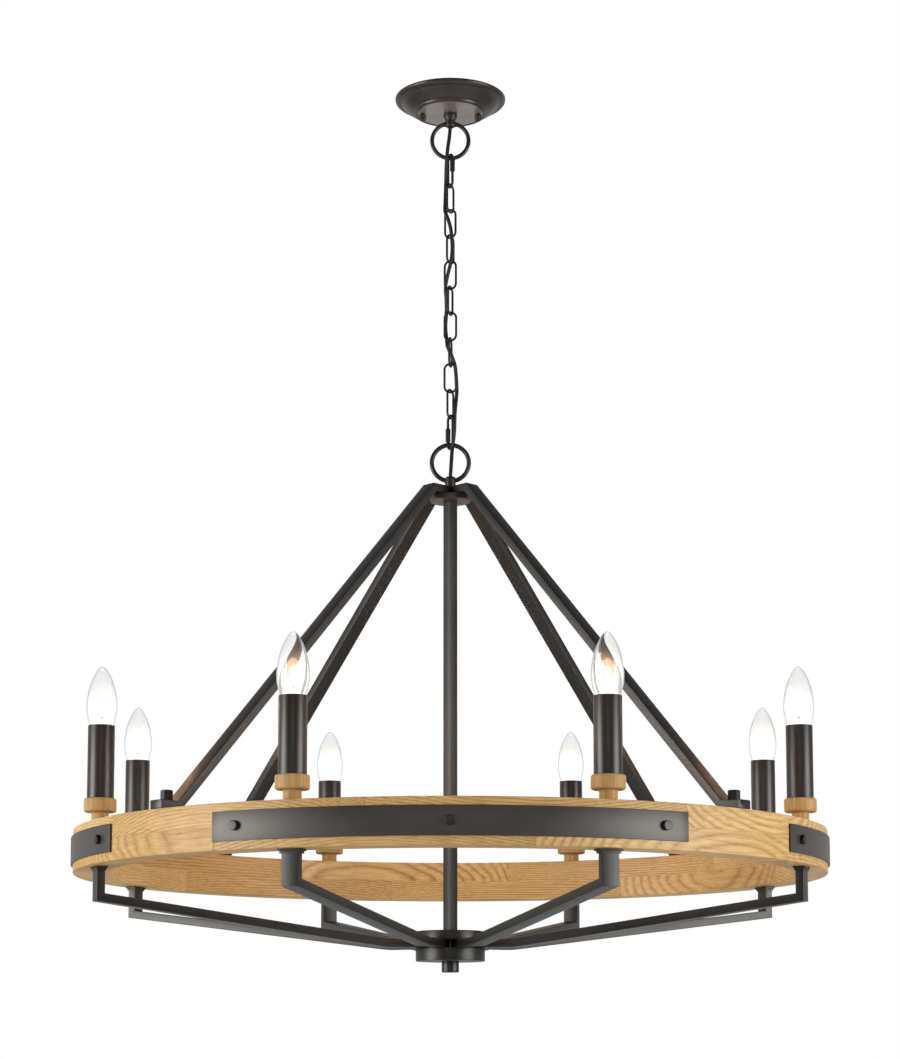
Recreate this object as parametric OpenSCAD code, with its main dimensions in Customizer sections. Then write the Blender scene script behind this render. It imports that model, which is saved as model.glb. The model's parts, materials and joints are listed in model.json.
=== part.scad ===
// Wagon wheel chandelier: a canopy, a chain and a wooden wheel that carries eight candle lamps.
// Lengths are in millimetres. The origin is the middle of the ceiling plane and +Z points up.
// The front is towards -Y, and an azimuth is counted from the front towards +X.

/* [Ceiling] */
// Radius of the canopy's rim
canopy_r = 69.5; // [64:0.5:78]
// Depth of the canopy, rim to flat face
canopy_depth = 19.2; // [16:0.2:25]
// Thickness of the canopy's sheet
canopy_sheet = 1.2; // [0.8:0.1:1.6]
// Height of the upright lip at the rim
canopy_lip = 3; // [1.5:0.5:5]
// Radius of the flat face
canopy_face_r = 43.4; // [42.6:0.2:48]
// Radius of the bead's section
bead_r = 1.4; // [0.8:0.1:1.6]
// Distance between the two canopy screws
screw_gap = 69.8; // [68:0.2:70.4]
// Diameter of the canopy screws
screw_d = 4.1; // [3.5:0.1:5]
// Diameter of the canopy nuts
cap_nut_d = 9; // [8:0.2:9.6]
// Height of the canopy nuts
cap_nut_h = 10; // [8:0.2:14]
// Length of the mounting strap
strap_len = 110; // [104:1:118]
// Width of the mounting strap
strap_w = 19; // [16:0.5:24]
// Thickness of the mounting strap
strap_t = 2; // [1.5:0.25:3]
// Distance between the middles of the strap's slots
slot_gap = 88.9; // [84:0.1:92]
// Width of the strap's slots
slot_w = 4.5; // [3.5:0.1:5.5]
// Whole length of the strap's slots
slot_len = 12; // [8:0.5:13]
// Diameter of the hollow nipple in the canopy and of the pipe in the stem
pipe_d = 10.2; // [9.6:0.1:10.2]
// Bore of the nipple and of the pipe
pipe_bore = 7.5; // [6.5:0.1:8]
// Width across the flats of the nipple's nut
nipple_nut_af = 15; // [14:0.5:17]
// Height of the nipple's nut
nipple_nut_h = 3; // [2:0.5:4]

/* [Loops] */
// Radius of both loops, to the middle of the wire
loop_r = 23; // [20:0.25:26]
// Wire of the canopy loop
canopy_loop_wire = 5.2; // [4:0.1:5.8]
// Wire of the body loop
body_loop_wire = 5.6; // [4.5:0.1:6]
// Diameter of the canopy loop's collar at the canopy
collar_d = 16.8; // [14:0.2:18]
// Height of that wide part of the collar
collar_h = 6.8; // [5:0.5:8]
// Diameter of the narrow part of the collar
collar_neck_d = 12.4; // [11.6:0.2:13.4]
// Diameter of the body loop's collar
body_collar_d = 13.4; // [12.6:0.2:16]

/* [Chain] */
// Wire of the chain links
link_wire = 2.8; // [2.5:0.1:3]
// Length inside a chain link
link_in_len = 33.5; // [32.5:0.1:35]
// Width inside a chain link
link_in_w = 11.7; // [11:0.1:12.6]
// Wire of the quick links
quick_wire = 3.3; // [3.1:0.1:3.5]
// Length inside a quick link
quick_in_len = 38.8; // [38:0.1:40]
// Width inside a quick link
quick_in_w = 8.2; // [7.8:0.1:8.8]
// Diameter of the quick links' sleeves
quick_sleeve_d = 6.2; // [5.8:0.1:6.6]
// Length of the quick links' sleeves
quick_sleeve_len = 17; // [16:0.5:18]
// Opening in the side of a quick link
quick_gap = 5.8; // [4:0.2:6]
// Play between two links that hang in each other
link_play = 0.3; // [0.2:0.05:0.4]
// Diameter of the supply cord
cord_d = 4.7; // [4:0.1:4.8]

/* [Upper hub] */
// Diameter of the plate under the upper arms
plate_d = 51; // [44:1:64]
// Thickness of the plate under the upper arms
plate_t = 6.8; // [4:0.2:8]
// Width of the upper and lower arms
arm_w = 20; // [17:0.5:22]
// Thickness of the upper and lower arms
arm_t = 10; // [9.6:0.1:11]
// Side of the square stem
stem_w = 12.7; // [12.4:0.1:14]
// Height from the underside of the upper hub's plate to the top of the wheel
wheel_drop = 415.2; // [370:0.2:450]
// Azimuth of the first upper arm
upper_arm_azimuth = 45; // [40:1:50]
// Length of the level part at the middle, to the bend
upper_arm_level = 35.2; // [32:0.2:40]
// Length of an upper arm's foot on the wheel, from the bend to the rim
upper_foot_len = 26.5; // [25.5:0.5:30]

/* [Wheel] */
// Outside radius of the wooden wheel
wheel_r = 454.7; // [430:0.1:480]
// Width of the wheel's rim
rim_w = 40; // [36:0.5:46]
// Height of one layer of the wheel
layer_h = 25.5; // [22:0.5:30]
// Gap at the joints between the segments
joint_gap = 0.2; // [0.1:0.05:0.4]
// Thickness of the steel bands
band_t = 2.45; // [1.5:0.05:4]
// Height of the steel bands
band_h = 32; // [24:1:40]
// Angle that one band covers
band_angle = 67.5; // [64:0.5:76]
// Angle between neighbouring bolts of a band
band_bolt_step = 30; // [27:0.5:30]
// Diameter of the band bolts' heads
band_head_d = 11; // [9:0.5:14]
// Height of the band bolts' heads
band_head_h = 4.5; // [3:0.1:6]
// Diameter of the band bolts' shanks
band_bolt_d = 5; // [4:0.25:6]
// Length of the band bolts' shanks
band_bolt_len = 22; // [16:1:26]
// Distance of the arm nuts' middle from the wheel's outer face
arm_nut_inset = 15.2; // [10.8:0.2:16.6]
// Diameter of the studs under the arm nuts
stud_d = 8; // [6:0.5:8]
// Depth of the studs in the wood
stud_depth = 38; // [28:1:42]
// Width across the flats of the arm nuts
arm_nut_af = 12; // [11:0.5:13]
// Height of the arm nuts
arm_nut_h = 11.5; // [8:0.5:14]

/* [Candles] */
// Distance of the candles' middle from the wheel's outer face
candle_inset = 17.7; // [14.7:0.1:20.7]
// Diameter of the neck under a cup
neck_d = 20; // [18:0.5:26]
// Height of the neck under a cup
neck_h = 11.5; // [8:0.5:16]
// Diameter of a cup
cup_d = 37.5; // [35:0.5:44]
// Height of a cup
cup_h = 16; // [12:0.5:20]
// Chamfer round a cup's edges
cup_chamfer = 1.5; // [0.5:0.25:2.5]
// Diameter of a candle sleeve
candle_d = 31; // [30.6:0.1:33]
// Height of a candle sleeve
candle_h = 84.8; // [70:0.2:100]
// Wall of a candle sleeve
candle_wall = 1.2; // [0.8:0.1:1.2]
// Greatest diameter of a bulb
bulb_d = 35.8; // [34:0.2:38]
// Height of a bulb's tip above its candle sleeve
bulb_h = 69.6; // [62:0.2:76]
// Wall of a bulb's glass
bulb_wall = 0.8; // [0.6:0.1:1]
// Outside diameter of a socket
socket_d = 21; // [19:0.5:24]

/* [Lower arms] */
// Wall of the lower arms' tube
arm_wall = 1.2; // [0.8:0.1:1.4]
// Height of the riser's middle line below the wheel
riser_h = 35.5; // [30:0.5:48]
// Drop of the slope from the riser to the level part
slope_drop = 46.2; // [38:0.2:56]
// Radius where the slope turns level
level_r = 84; // [70:1:110]
// Length of the foot plate across the rim's width
foot_len = 14; // [12:0.5:20]
// Width of the foot plate along the rim
foot_w = 28; // [24:0.5:34]
// Thickness of the foot plate
foot_t = 5; // [3:0.5:7]
// Diameter of the leads in the lower arms
lead_d = 3; // [2.4:0.1:3.2]

/* [Lower hub] */
// Radius of the lower hub
hub_r = 42; // [40:0.5:50]
// Height of the hub's cover
cover_h = 10.8; // [8:0.2:16]
// Height of the hub's body
hub_h = 15.4; // [14:0.2:24]
// Diameter of the finial
finial_d = 21; // [18:0.5:28]
// Height of the finial
finial_h = 13.3; // [11:0.1:20]
// Chamfer round the finial's lower edge
finial_chamfer = 1; // [0.4:0.2:2]

/* [Hidden] */
$fn = 64;

// Play round a shaft in its hole on one body, and a length that runs a cut past a face
fit = 0.05;
past = 1;
thin_fn = 8;
cord_fn = 10;

bronze = [0.22, 0.20, 0.19];
bright = [0.55, 0.54, 0.52];
honey = [0.80, 0.62, 0.40];
glass = [0.95, 0.90, 0.80, 0.4];
dark = [0.16, 0.14, 0.13];
black = [0.06, 0.06, 0.06];

// The dish between lip and face, as shares of that width and depth
dish = [[0.27, 0.37], [0.5, 0.59], [0.68, 0.74], [0.84, 0.87], [0.95, 0.96]];
face_z = -canopy_depth;
nut_neck_h = 1.6;
loop_drop = 35.4;
canopy_loop_z = face_z - loop_drop;
collar_len = 17.4;

// Chain: azimuths of the planes that the links lie in, counted about Z from the X axis
quick_top_turn = -62;
link_turns = [57, -25, 55, -15, 68, -5, 78, 0, 60];
quick_bottom_turn = -60;
link_pitch = link_in_len + link_wire;
quick_pitch = quick_in_len + quick_wire;
quick_top_z = canopy_loop_z - loop_r + (canopy_loop_wire + quick_wire) / 2 + link_play;
first_link_z = quick_top_z - quick_pitch + (quick_wire + link_wire) / 2 + link_play;
link_step = link_pitch - link_wire - link_play;
quick_bottom_z = first_link_z - 8 * link_step - link_pitch + (quick_wire + link_wire) / 2 + link_play;
body_loop_top_z = quick_bottom_z - quick_pitch + (quick_wire + body_loop_wire) / 2 + link_play;
body_loop_z = body_loop_top_z - loop_r;
quick_sleeve_play = 0.08;
top_sleeve_low = -2.2;
bottom_sleeve_low = -11.7;
sleeve_grip = 2.1;

// Upper hub and wheel
arm_top_z = body_loop_z - loop_r - 9.4;
body_collar_h = 14.5;
plate_z = arm_top_z - arm_t;
stem_z = plate_z - plate_t;
ring_z = stem_z - wheel_drop;
glue_z = ring_z - layer_h;
ring_low_z = ring_z - 2 * layer_h;
rim_in_r = wheel_r - rim_w;
foot_bend_r = wheel_r - upper_foot_len;
arm_nut_r = wheel_r - arm_nut_inset;
candle_r = wheel_r - candle_inset;
segment_angle = 45;
upper_joint_azimuth = 33.75;
lower_joint_azimuth = 11.25;
first_candle_azimuth = 22.5;
nipple_d = 7.8;
nipple_bore = 5.6;

// Lower arms and lower hub
corner_z = ring_low_z - riser_h;
level_z = corner_z - slope_drop;
arm_in_r = 26;
level_bend_r = 60;
hub_wall = 4;
hub_floor = 3;
cover_top_z = level_z + arm_t / 2 + cover_h;
body_top_z = level_z - arm_t / 2;
body_low_z = body_top_z - hub_h;
finial_thread = 9;
connector_d = 12;
connector_x = 15;
connector_mouth_z = level_z - 2;
lead_spread = 2;

// Candles
cup_z = ring_z + neck_h;
sleeve_z = cup_z + cup_h;
tip_z = sleeve_z + candle_h;
base_d = 11.9;
base_len = 20;
glass_neck_depth = 19.5;
screw_in_play = 0.3;

function unit(v) = v / norm(v);

// Points along an arc that rounds the corner at b of the line a, b, c
function round_corner(a, b, c, r, n = 4) =
  let (
    u = unit(a - b),
    w = unit(c - b),
    half = acos(u * w) / 2,
    s = r / tan(half),
    m = b + unit(u + w) * r / sin(half),
    p = b + u * s,
    q = b + w * s
  )
  [for (i = [0:n]) let (k = i / n, d = unit((p - m) * (1 - k) + (q - m) * k)) m + d * r];

// Outline of a flat bar of thickness t that follows a line of points
function side_step(line, i) =
  let (
    before = unit(line[i] - line[max(i - 1, 0)] + (i == 0 ? line[1] - line[0] : [0, 0])),
    last = len(line) - 1,
    after = i == last ? before : unit(line[i + 1] - line[i]),
    n1 = [-before[1], before[0]],
    n2 = [-after[1], after[0]]
  )
  (n1 + n2) / (1 + n1 * n2);

function bar_outline(line, t) =
  concat(
    [for (i = [0:len(line) - 1]) line[i] + side_step(line, i) * t / 2],
    [for (i = [len(line) - 1:-1:0]) line[i] - side_step(line, i) * t / 2]
  );

// A smooth line through hand-set points, with one more point between each two
function between(p, i) =
  let (n = len(p) - 1, a = p[max(i - 1, 0)], b = p[i], c = p[i + 1], d = p[min(i + 2, n)])
  (9 * (b + c) - a - d) / 16;

function smooth_line(p) =
  [for (i = [0:2 * len(p) - 2]) i % 2 == 0 ? p[i / 2] : between(p, (i - 1) / 2)];

function tube_ring(p, i, d, n) =
  let (
    t = unit(p[min(i + 1, len(p) - 1)] - p[max(i - 1, 0)]),
    u = unit(cross(t, [0, 1, 0])),
    v = cross(t, u)
  )
  [for (j = [0:n - 1]) p[i] + (u * cos(360 * j / n) + v * sin(360 * j / n)) * d / 2];

module tube_along(p, d, n) {
  m = len(p);
  points = [for (i = [0:m - 1]) each tube_ring(p, i, d, n)];
  sides = [
    for (i = [0:m - 2])
      for (j = [0:n - 1])
        let (a = i * n + j, b = i * n + (j + 1) % n)
          each [[a, a + n, b + n], [a, b + n, b]]
  ];
  start = [for (j = [0:n - 1]) j];
  end = [for (j = [n - 1:-1:0]) (m - 1) * n + j];
  polyhedron(points = points, faces = concat(sides, [start, end]), convexity = 10);
}

module at_azimuth(a) {
  rotate([0, 0, a - 90])
    children();
}

module at_candles(r) {
  for (i = [0:7])
    at_azimuth(first_candle_azimuth + 45 * i)
      translate([r, 0, 0])
        children();
}

module at_upper_arms(r) {
  for (i = [0:3])
    at_azimuth(upper_arm_azimuth + 90 * i)
      translate([r, 0, 0])
        children();
}

module at_band_bolts() {
  for (i = [0:3], k = [-1:1])
    at_azimuth(90 * i + band_bolt_step * k)
      translate([wheel_r, 0, glue_z])
        rotate([0, 90, 0])
          children();
}

module tube(d, bore, low, high) {
  translate([0, 0, low])
    difference() {
      cylinder(d = d, h = high - low);
      translate([0, 0, -past])
        cylinder(d = bore, h = high - low + 2 * past);
    }
}

// ---- ceiling

module mounting_strap() {
  color(bright)
    difference() {
      translate([-strap_len / 2, -strap_w / 2, -strap_t])
        cube([strap_len, strap_w, strap_t]);
      translate([0, 0, -strap_t - past])
        cylinder(d = pipe_d + 2 * fit, h = strap_t + 2 * past);
      for (s = [-1, 1]) {
        translate([s * screw_gap / 2, 0, -strap_t - past])
          cylinder(d = screw_d + 2 * fit, h = strap_t + 2 * past);
        strap_slot(s * slot_gap / 2);
      }
    }
}

module strap_slot(x) {
  reach = (slot_len - slot_w) / 2;
  for (s = [-1, 1])
    translate([x + s * reach, 0, -strap_t - past])
      cylinder(d = slot_w, h = strap_t + 2 * past);
  translate([x - reach, -slot_w / 2, -strap_t - past])
    cube([2 * reach, slot_w, strap_t + 2 * past]);
}

module strap_screws() {
  color(bright)
    for (s = [-1, 1])
      translate([s * screw_gap / 2, 0, face_z - cap_nut_h + 2.5])
        cylinder(d = screw_d, h = -face_z + cap_nut_h - 2.5);
}

function dish_line(sheet) =
  [for (p = dish)
    [canopy_r - sheet - (canopy_r - canopy_face_r) * p[0],
     -canopy_lip + sheet * 0.8 - (canopy_depth - canopy_lip) * p[1]]];

module canopy() {
  hole_r = pipe_d / 2 + fit;
  outer = concat([[canopy_r, 0], [canopy_r, -canopy_lip]], dish_line(0), [[canopy_face_r, face_z]]);
  inner = concat(
    [[canopy_face_r - canopy_sheet / 2, face_z + canopy_sheet]],
    [for (i = [len(dish) - 1:-1:0]) dish_line(canopy_sheet)[i]],
    [[canopy_r - canopy_sheet, -canopy_lip + canopy_sheet / 2], [canopy_r - canopy_sheet, 0]]
  );
  color(bronze)
    difference() {
      union() {
        rotate_extrude()
          polygon(concat(outer, [[hole_r, face_z], [hole_r, face_z + canopy_sheet]], inner));
        translate([0, 0, face_z + 0.3])
          rotate_extrude()
            translate([canopy_face_r - 1, 0])
              circle(r = bead_r);
      }
      for (s = [-1, 1])
        translate([s * screw_gap / 2, 0, face_z - past])
          cylinder(d = screw_d + 2 * fit, h = canopy_sheet + 2 * past);
    }
}

module canopy_nuts() {
  color(bronze)
    for (s = [-1, 1])
      translate([s * screw_gap / 2, 0, face_z])
        canopy_nut();
}

module canopy_nut() {
  r = cap_nut_d / 2;
  difference() {
    rotate_extrude()
      polygon([
        [0, 0], [r * 0.72, 0], [r * 0.72, -nut_neck_h], [r, -nut_neck_h], [r, -cap_nut_h * 0.45],
        [r * 0.92, -cap_nut_h * 0.68], [r * 0.68, -cap_nut_h * 0.88], [r * 0.35, -cap_nut_h], [0, -cap_nut_h]
      ]);
    translate([0, 0, -cap_nut_h + 2])
      cylinder(d = screw_d + 2 * fit, h = cap_nut_h);
  }
}

module loop_ring(wire) {
  rotate([90, 0, 0])
    rotate_extrude()
      translate([loop_r, 0])
        circle(d = wire);
}

module canopy_loop() {
  color(bronze)
    difference() {
      union() {
        translate([0, 0, canopy_loop_z])
          loop_ring(canopy_loop_wire);
        translate([0, 0, face_z - collar_h])
          cylinder(d = collar_d, h = collar_h);
        translate([0, 0, face_z - collar_len])
          cylinder(d = collar_neck_d, h = collar_len - collar_h + past);
      }
      translate([0, 0, face_z - collar_len - past])
        cylinder(d = pipe_bore, h = collar_len);
      translate([0, 0, face_z - collar_len + 6])
        cylinder(d = pipe_d + 2 * fit, h = collar_len);
    }
}

module loop_nipple() {
  color(bright)
    tube(pipe_d, pipe_bore, face_z - collar_len + 6.5, 0);
}

module nipple_nut() {
  color(bright)
    translate([0, 0, -strap_t - nipple_nut_h])
      difference() {
        cylinder(d = nipple_nut_af / cos(30), h = nipple_nut_h, $fn = 6);
        translate([0, 0, -past])
          cylinder(d = pipe_d + 2 * fit, h = nipple_nut_h + 2 * past);
      }
}

// ---- chain

// A link in the XZ plane, with the middle of its wire at the top on z = 0
module long_link(in_len, in_w, wire) {
  r = (in_w + wire) / 2;
  straight = in_len - in_w;
  translate([0, 0, -r])
    rotate([90, 0, 0])
      rotate_extrude(angle = 180)
        translate([r, 0])
          circle(d = wire);
  translate([0, 0, -r - straight])
    rotate([-90, 0, 0])
      rotate_extrude(angle = 180)
        translate([r, 0])
          circle(d = wire);
  for (s = [-1, 1])
    translate([s * r, 0, -r - straight])
      cylinder(d = wire, h = straight);
}

module chain_link(i) {
  color(bronze)
    translate([0, 0, first_link_z - i * link_step])
      rotate([0, 0, link_turns[i]])
        long_link(link_in_len, link_in_w, link_wire);
}

module quick_link(side, gap_low) {
  r = (quick_in_w + quick_wire) / 2;
  difference() {
    long_link(quick_in_len, quick_in_w, quick_wire);
    translate([side * r - quick_wire, -quick_wire, -quick_pitch / 2 + gap_low])
      cube([2 * quick_wire, 2 * quick_wire, quick_gap]);
  }
}

module quick_sleeve(side, low) {
  r = (quick_in_w + quick_wire) / 2;
  translate([side * r, 0, -quick_pitch / 2])
    tube(quick_sleeve_d, quick_wire + 2 * quick_sleeve_play, low, low + quick_sleeve_len);
}

module quick_link_top() {
  gap_low = top_sleeve_low + quick_sleeve_len - sleeve_grip - quick_gap;
  color(bronze)
    translate([0, 0, quick_top_z])
      rotate([0, 0, quick_top_turn])
        quick_link(1, gap_low);
}

module quick_link_top_sleeve() {
  color(bronze)
    translate([0, 0, quick_top_z])
      rotate([0, 0, quick_top_turn])
        quick_sleeve(1, top_sleeve_low);
}

module quick_link_bottom() {
  color(bronze)
    translate([0, 0, quick_bottom_z])
      rotate([0, 0, quick_bottom_turn])
        quick_link(-1, bottom_sleeve_low + sleeve_grip);
}

module quick_link_bottom_sleeve() {
  color(bronze)
    translate([0, 0, quick_bottom_z])
      rotate([0, 0, quick_bottom_turn])
        quick_sleeve(-1, bottom_sleeve_low);
}

// The cord's way from the ceiling to the body loop: down beside the first two links, in front of the
// next three, behind the fifth and sixth, through the seventh and down the right of the last ones
cord_chain = [
  [0, 0, -1], [0, 0, -32], [-0.5, -1, -42], [-1.5, -2.5, -53], [-3, -4.5, -64], [-4, -6, -75],
  [-5, -5, -89], [-5.5, -1, -106], [-6, -0.5, -123], [-6.5, -1, -138], [-6.5, -2.5, -148],
  [-3, -4.5, -158], [0, -5.5, -169], [1.5, -6, -180], [2.5, -5.5, -197], [1, -6, -213],
  [-3, -4.5, -230], [-6, -3, -246], [-5, 1, -262], [-5, 4.5, -278], [-6, 5, -295], [-4.5, 5, -312],
  [-3.5, 2.5, -321], [0, 1, -329], [3.5, 2.5, -338], [6, 4.5, -346], [7.5, 5, -363], [8, 4.5, -380],
  [6.5, 1, -397], [5.5, 0, -412], [5, 1.5, -430], [3, 6, -447], [2, 6, -456], [1, 2.5, -473],
  [0, 0, -489]
];
// Down the stem and out into the lower hub
cord_window = 10;
cord_drop = [
  [0, 0, -503], [0, 0, -530], [0, 0, -700], [0, 0, -920], [0, 0, level_z + 18], [0.3, 0, level_z + 13],
  [1.4, 0, level_z + 8], [3.6, 0, level_z + 4], [6.2, 0, level_z + 2], [8.8, 0, level_z + 1.2]
];

module supply_cord() {
  color(black)
    tube_along(concat(smooth_line(cord_chain), cord_drop), cord_d, cord_fn);
}

// ---- upper hub

module body_loop() {
  color(bronze)
    difference() {
      union() {
        translate([0, 0, body_loop_z])
          loop_ring(body_loop_wire);
        translate([0, 0, arm_top_z])
          cylinder(d = body_collar_d, h = body_collar_h);
      }
      translate([0, 0, arm_top_z - past])
        cylinder(d = pipe_d + 2 * fit, h = body_collar_h - 3 + past);
      translate([0, 0, arm_top_z])
        cylinder(d = pipe_bore, h = body_collar_h + past);
    }
}

module hub_plate() {
  color(bronze)
    tube(plate_d, pipe_d + 2 * fit, stem_z, plate_z);
}

// The middle line of an upper arm, in its own plane: level, slope, then the foot on the wheel
upper_arm_line = [
  [0, arm_top_z - arm_t / 2], [upper_arm_level, arm_top_z - arm_t / 2],
  [foot_bend_r, ring_z + arm_t / 2], [wheel_r, ring_z + arm_t / 2]
];

module upper_arm(i) {
  color(bronze)
    at_azimuth(upper_arm_azimuth + 90 * i)
      difference() {
        intersection() {
          translate([0, arm_w / 2, 0])
            rotate([90, 0, 0])
              linear_extrude(arm_w)
                polygon(bar_outline(upper_arm_line, arm_t));
          translate([0, 0, ring_z - past])
            linear_extrude(arm_top_z - ring_z + 2 * past)
              polygon([[2 * fit, 0], [wheel_r + past, -wheel_r - past], [wheel_r + past, wheel_r + past]]);
        }
        translate([0, 0, plate_z - past])
          cylinder(d = pipe_d + 2 * fit, h = arm_t + 2 * past);
        translate([arm_nut_r, 0, ring_z - past])
          cylinder(d = stud_d + 2 * fit, h = arm_t + 2 * past);
      }
}

module stem() {
  color(bronze)
    translate([0, 0, cover_top_z])
      difference() {
        rotate([0, 0, 45])
          translate([-stem_w / 2, -stem_w / 2, 0])
            cube([stem_w, stem_w, stem_z - cover_top_z]);
        translate([0, 0, -past])
          cylinder(d = pipe_d + 2 * fit, h = stem_z - cover_top_z + 2 * past);
      }
}

// Threaded pipe that ties the loop, the arms, the stem and the lower hub together, with a window for
// the cord
module stem_pipe() {
  top = arm_top_z + body_collar_h - 3.5;
  color(bright)
    difference() {
      tube(pipe_d, pipe_bore, body_low_z - finial_thread, top);
      translate([0, -3, level_z - 3])
        cube([cord_window, 6, 16]);
    }
}

// ---- wheel

module ring_studs() {
  color(bright)
    at_upper_arms(arm_nut_r)
      translate([0, 0, ring_z - stud_depth])
        cylinder(d = stud_d, h = stud_depth + arm_t + arm_nut_h - 2);
}

module ring_nuts() {
  color(bronze)
    at_upper_arms(arm_nut_r)
      translate([0, 0, ring_z + arm_t])
        difference() {
          cylinder(d = arm_nut_af / cos(30), h = arm_nut_h, $fn = 6);
          translate([0, 0, -past])
            cylinder(d = stud_d + 2 * fit, h = arm_nut_h - 1.5 + past);
        }
}

// Holes in the wood for the nipples, the studs and the band bolts
module rim_holes() {
  at_candles(candle_r)
    translate([0, 0, ring_low_z - past])
      cylinder(d = nipple_d + 2 * fit, h = 2 * layer_h + 2 * past);
  at_upper_arms(arm_nut_r)
    translate([0, 0, ring_z - stud_depth - 1])
      cylinder(d = stud_d + 2 * fit, h = stud_depth + 1 + past);
  at_band_bolts()
    translate([0, 0, -band_bolt_len - 1])
      cylinder(d = band_bolt_d + 2 * fit, h = band_bolt_len + 1 + past);
}

module rim_layer(low, azimuth) {
  cut = joint_gap / wheel_r * 180 / PI;
  difference() {
    for (i = [0:7])
      at_azimuth(azimuth + segment_angle * i + cut / 2)
        translate([0, 0, low])
          rotate_extrude(angle = segment_angle - cut, $fn = 180)
            translate([rim_in_r, 0])
              square([rim_w, layer_h]);
    rim_holes();
  }
}

module ring_upper() {
  color(honey)
    rim_layer(glue_z, upper_joint_azimuth);
}

module ring_lower() {
  color(honey)
    rim_layer(ring_low_z, lower_joint_azimuth);
}

module bands() {
  color(bronze)
    difference() {
      for (i = [0:3])
        at_azimuth(90 * i - band_angle / 2)
          translate([0, 0, glue_z - band_h / 2])
            rotate_extrude(angle = band_angle, $fn = 180)
              translate([wheel_r + fit, 0])
                square([band_t, band_h]);
      at_band_bolts()
        translate([0, 0, -past])
          cylinder(d = band_bolt_d + 2 * fit, h = band_t + 2 * past);
    }
}

module band_bolts() {
  seat = band_t + 2 * fit;
  r = band_head_d / 2;
  color(bronze)
    at_band_bolts() {
      translate([0, 0, -band_bolt_len])
        cylinder(d = band_bolt_d, h = band_bolt_len + seat + past);
      translate([0, 0, seat])
        rotate_extrude()
          polygon([
            [0, 0], [r, 0], [r, band_head_h - 1], [r - 0.4, band_head_h - 0.3], [r - 1.2, band_head_h],
            [0, band_head_h]
          ]);
    }
}

// ---- lower hub

module hub_cover() {
  color(bronze)
    translate([0, 0, cover_top_z - cover_h])
      difference() {
        cylinder(r = hub_r, h = cover_h);
        translate([0, 0, -past])
          cylinder(r = hub_r - hub_wall, h = cover_h - hub_floor + past);
        cylinder(d = pipe_d + 2 * fit, h = cover_h + past);
      }
}

module hub_body() {
  color(bronze)
    translate([0, 0, body_low_z])
      difference() {
        cylinder(r = hub_r, h = hub_h);
        translate([0, 0, hub_floor])
          cylinder(r = hub_r - hub_wall, h = hub_h);
        translate([0, 0, -past])
          cylinder(d = pipe_d + 2 * fit, h = hub_h);
      }
}

module finial() {
  r = finial_d / 2;
  color(bronze)
    translate([0, 0, body_low_z])
      difference() {
        rotate_extrude()
          polygon([
            [0, 0], [r, 0], [r, -finial_h + finial_chamfer], [r - finial_chamfer, -finial_h], [0, -finial_h]
          ]);
        translate([0, 0, -finial_thread - 0.5])
          cylinder(d = pipe_d + 2 * fit, h = finial_h);
      }
}

module wire_connectors() {
  low = body_low_z + hub_floor;
  color(dark)
    for (s = [-1, 1])
      translate([s * connector_x, 0, low])
        difference() {
          cylinder(d1 = connector_d * 0.85, d2 = connector_d, h = connector_mouth_z - low);
          translate([0, 0, 4])
            cylinder(d = connector_d - 2.4, h = connector_mouth_z - low);
        }
}

// ---- lower arms

// The middle line of a lower arm, in its own plane: level out of the hub, slope, then the riser
lower_arm_line = [[arm_in_r, level_z], [level_r, level_z], [candle_r, corner_z], [candle_r, ring_low_z]];

module lower_arm(i) {
  p = lower_arm_line;
  line = concat([p[0]], round_corner(p[0], p[1], p[2], level_bend_r), [p[2], p[3]]);
  color(bronze)
    at_azimuth(first_candle_azimuth + 45 * i)
      difference() {
        union() {
          translate([0, arm_w / 2, 0])
            rotate([90, 0, 0])
              linear_extrude(arm_w)
                polygon(bar_outline(line, arm_t));
          translate([candle_r - foot_len / 2, -foot_w / 2, ring_low_z - foot_t / 2])
            cube([foot_len, foot_w, foot_t / 2]);
          translate([candle_r - foot_len * 0.43, -foot_w * 0.43, ring_low_z - foot_t])
            cube([foot_len * 0.86, foot_w * 0.86, foot_t]);
        }
        lower_arm_hollow(line);
        translate([candle_r, 0, ring_low_z - foot_t - past])
          cylinder(d = nipple_d + 2 * fit, h = foot_t + 2 * past);
      }
}

module lower_arm_hollow(line) {
  last = len(line) - 1;
  inner = concat(
    [line[0] - [past, 0]],
    [for (j = [1:last - 1]) line[j]],
    [line[last] - [0, foot_t]]
  );
  translate([0, arm_w / 2 - arm_wall, 0])
    rotate([90, 0, 0])
      linear_extrude(arm_w - 2 * arm_wall)
        polygon(bar_outline(inner, arm_t - 2 * arm_wall));
}

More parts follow.
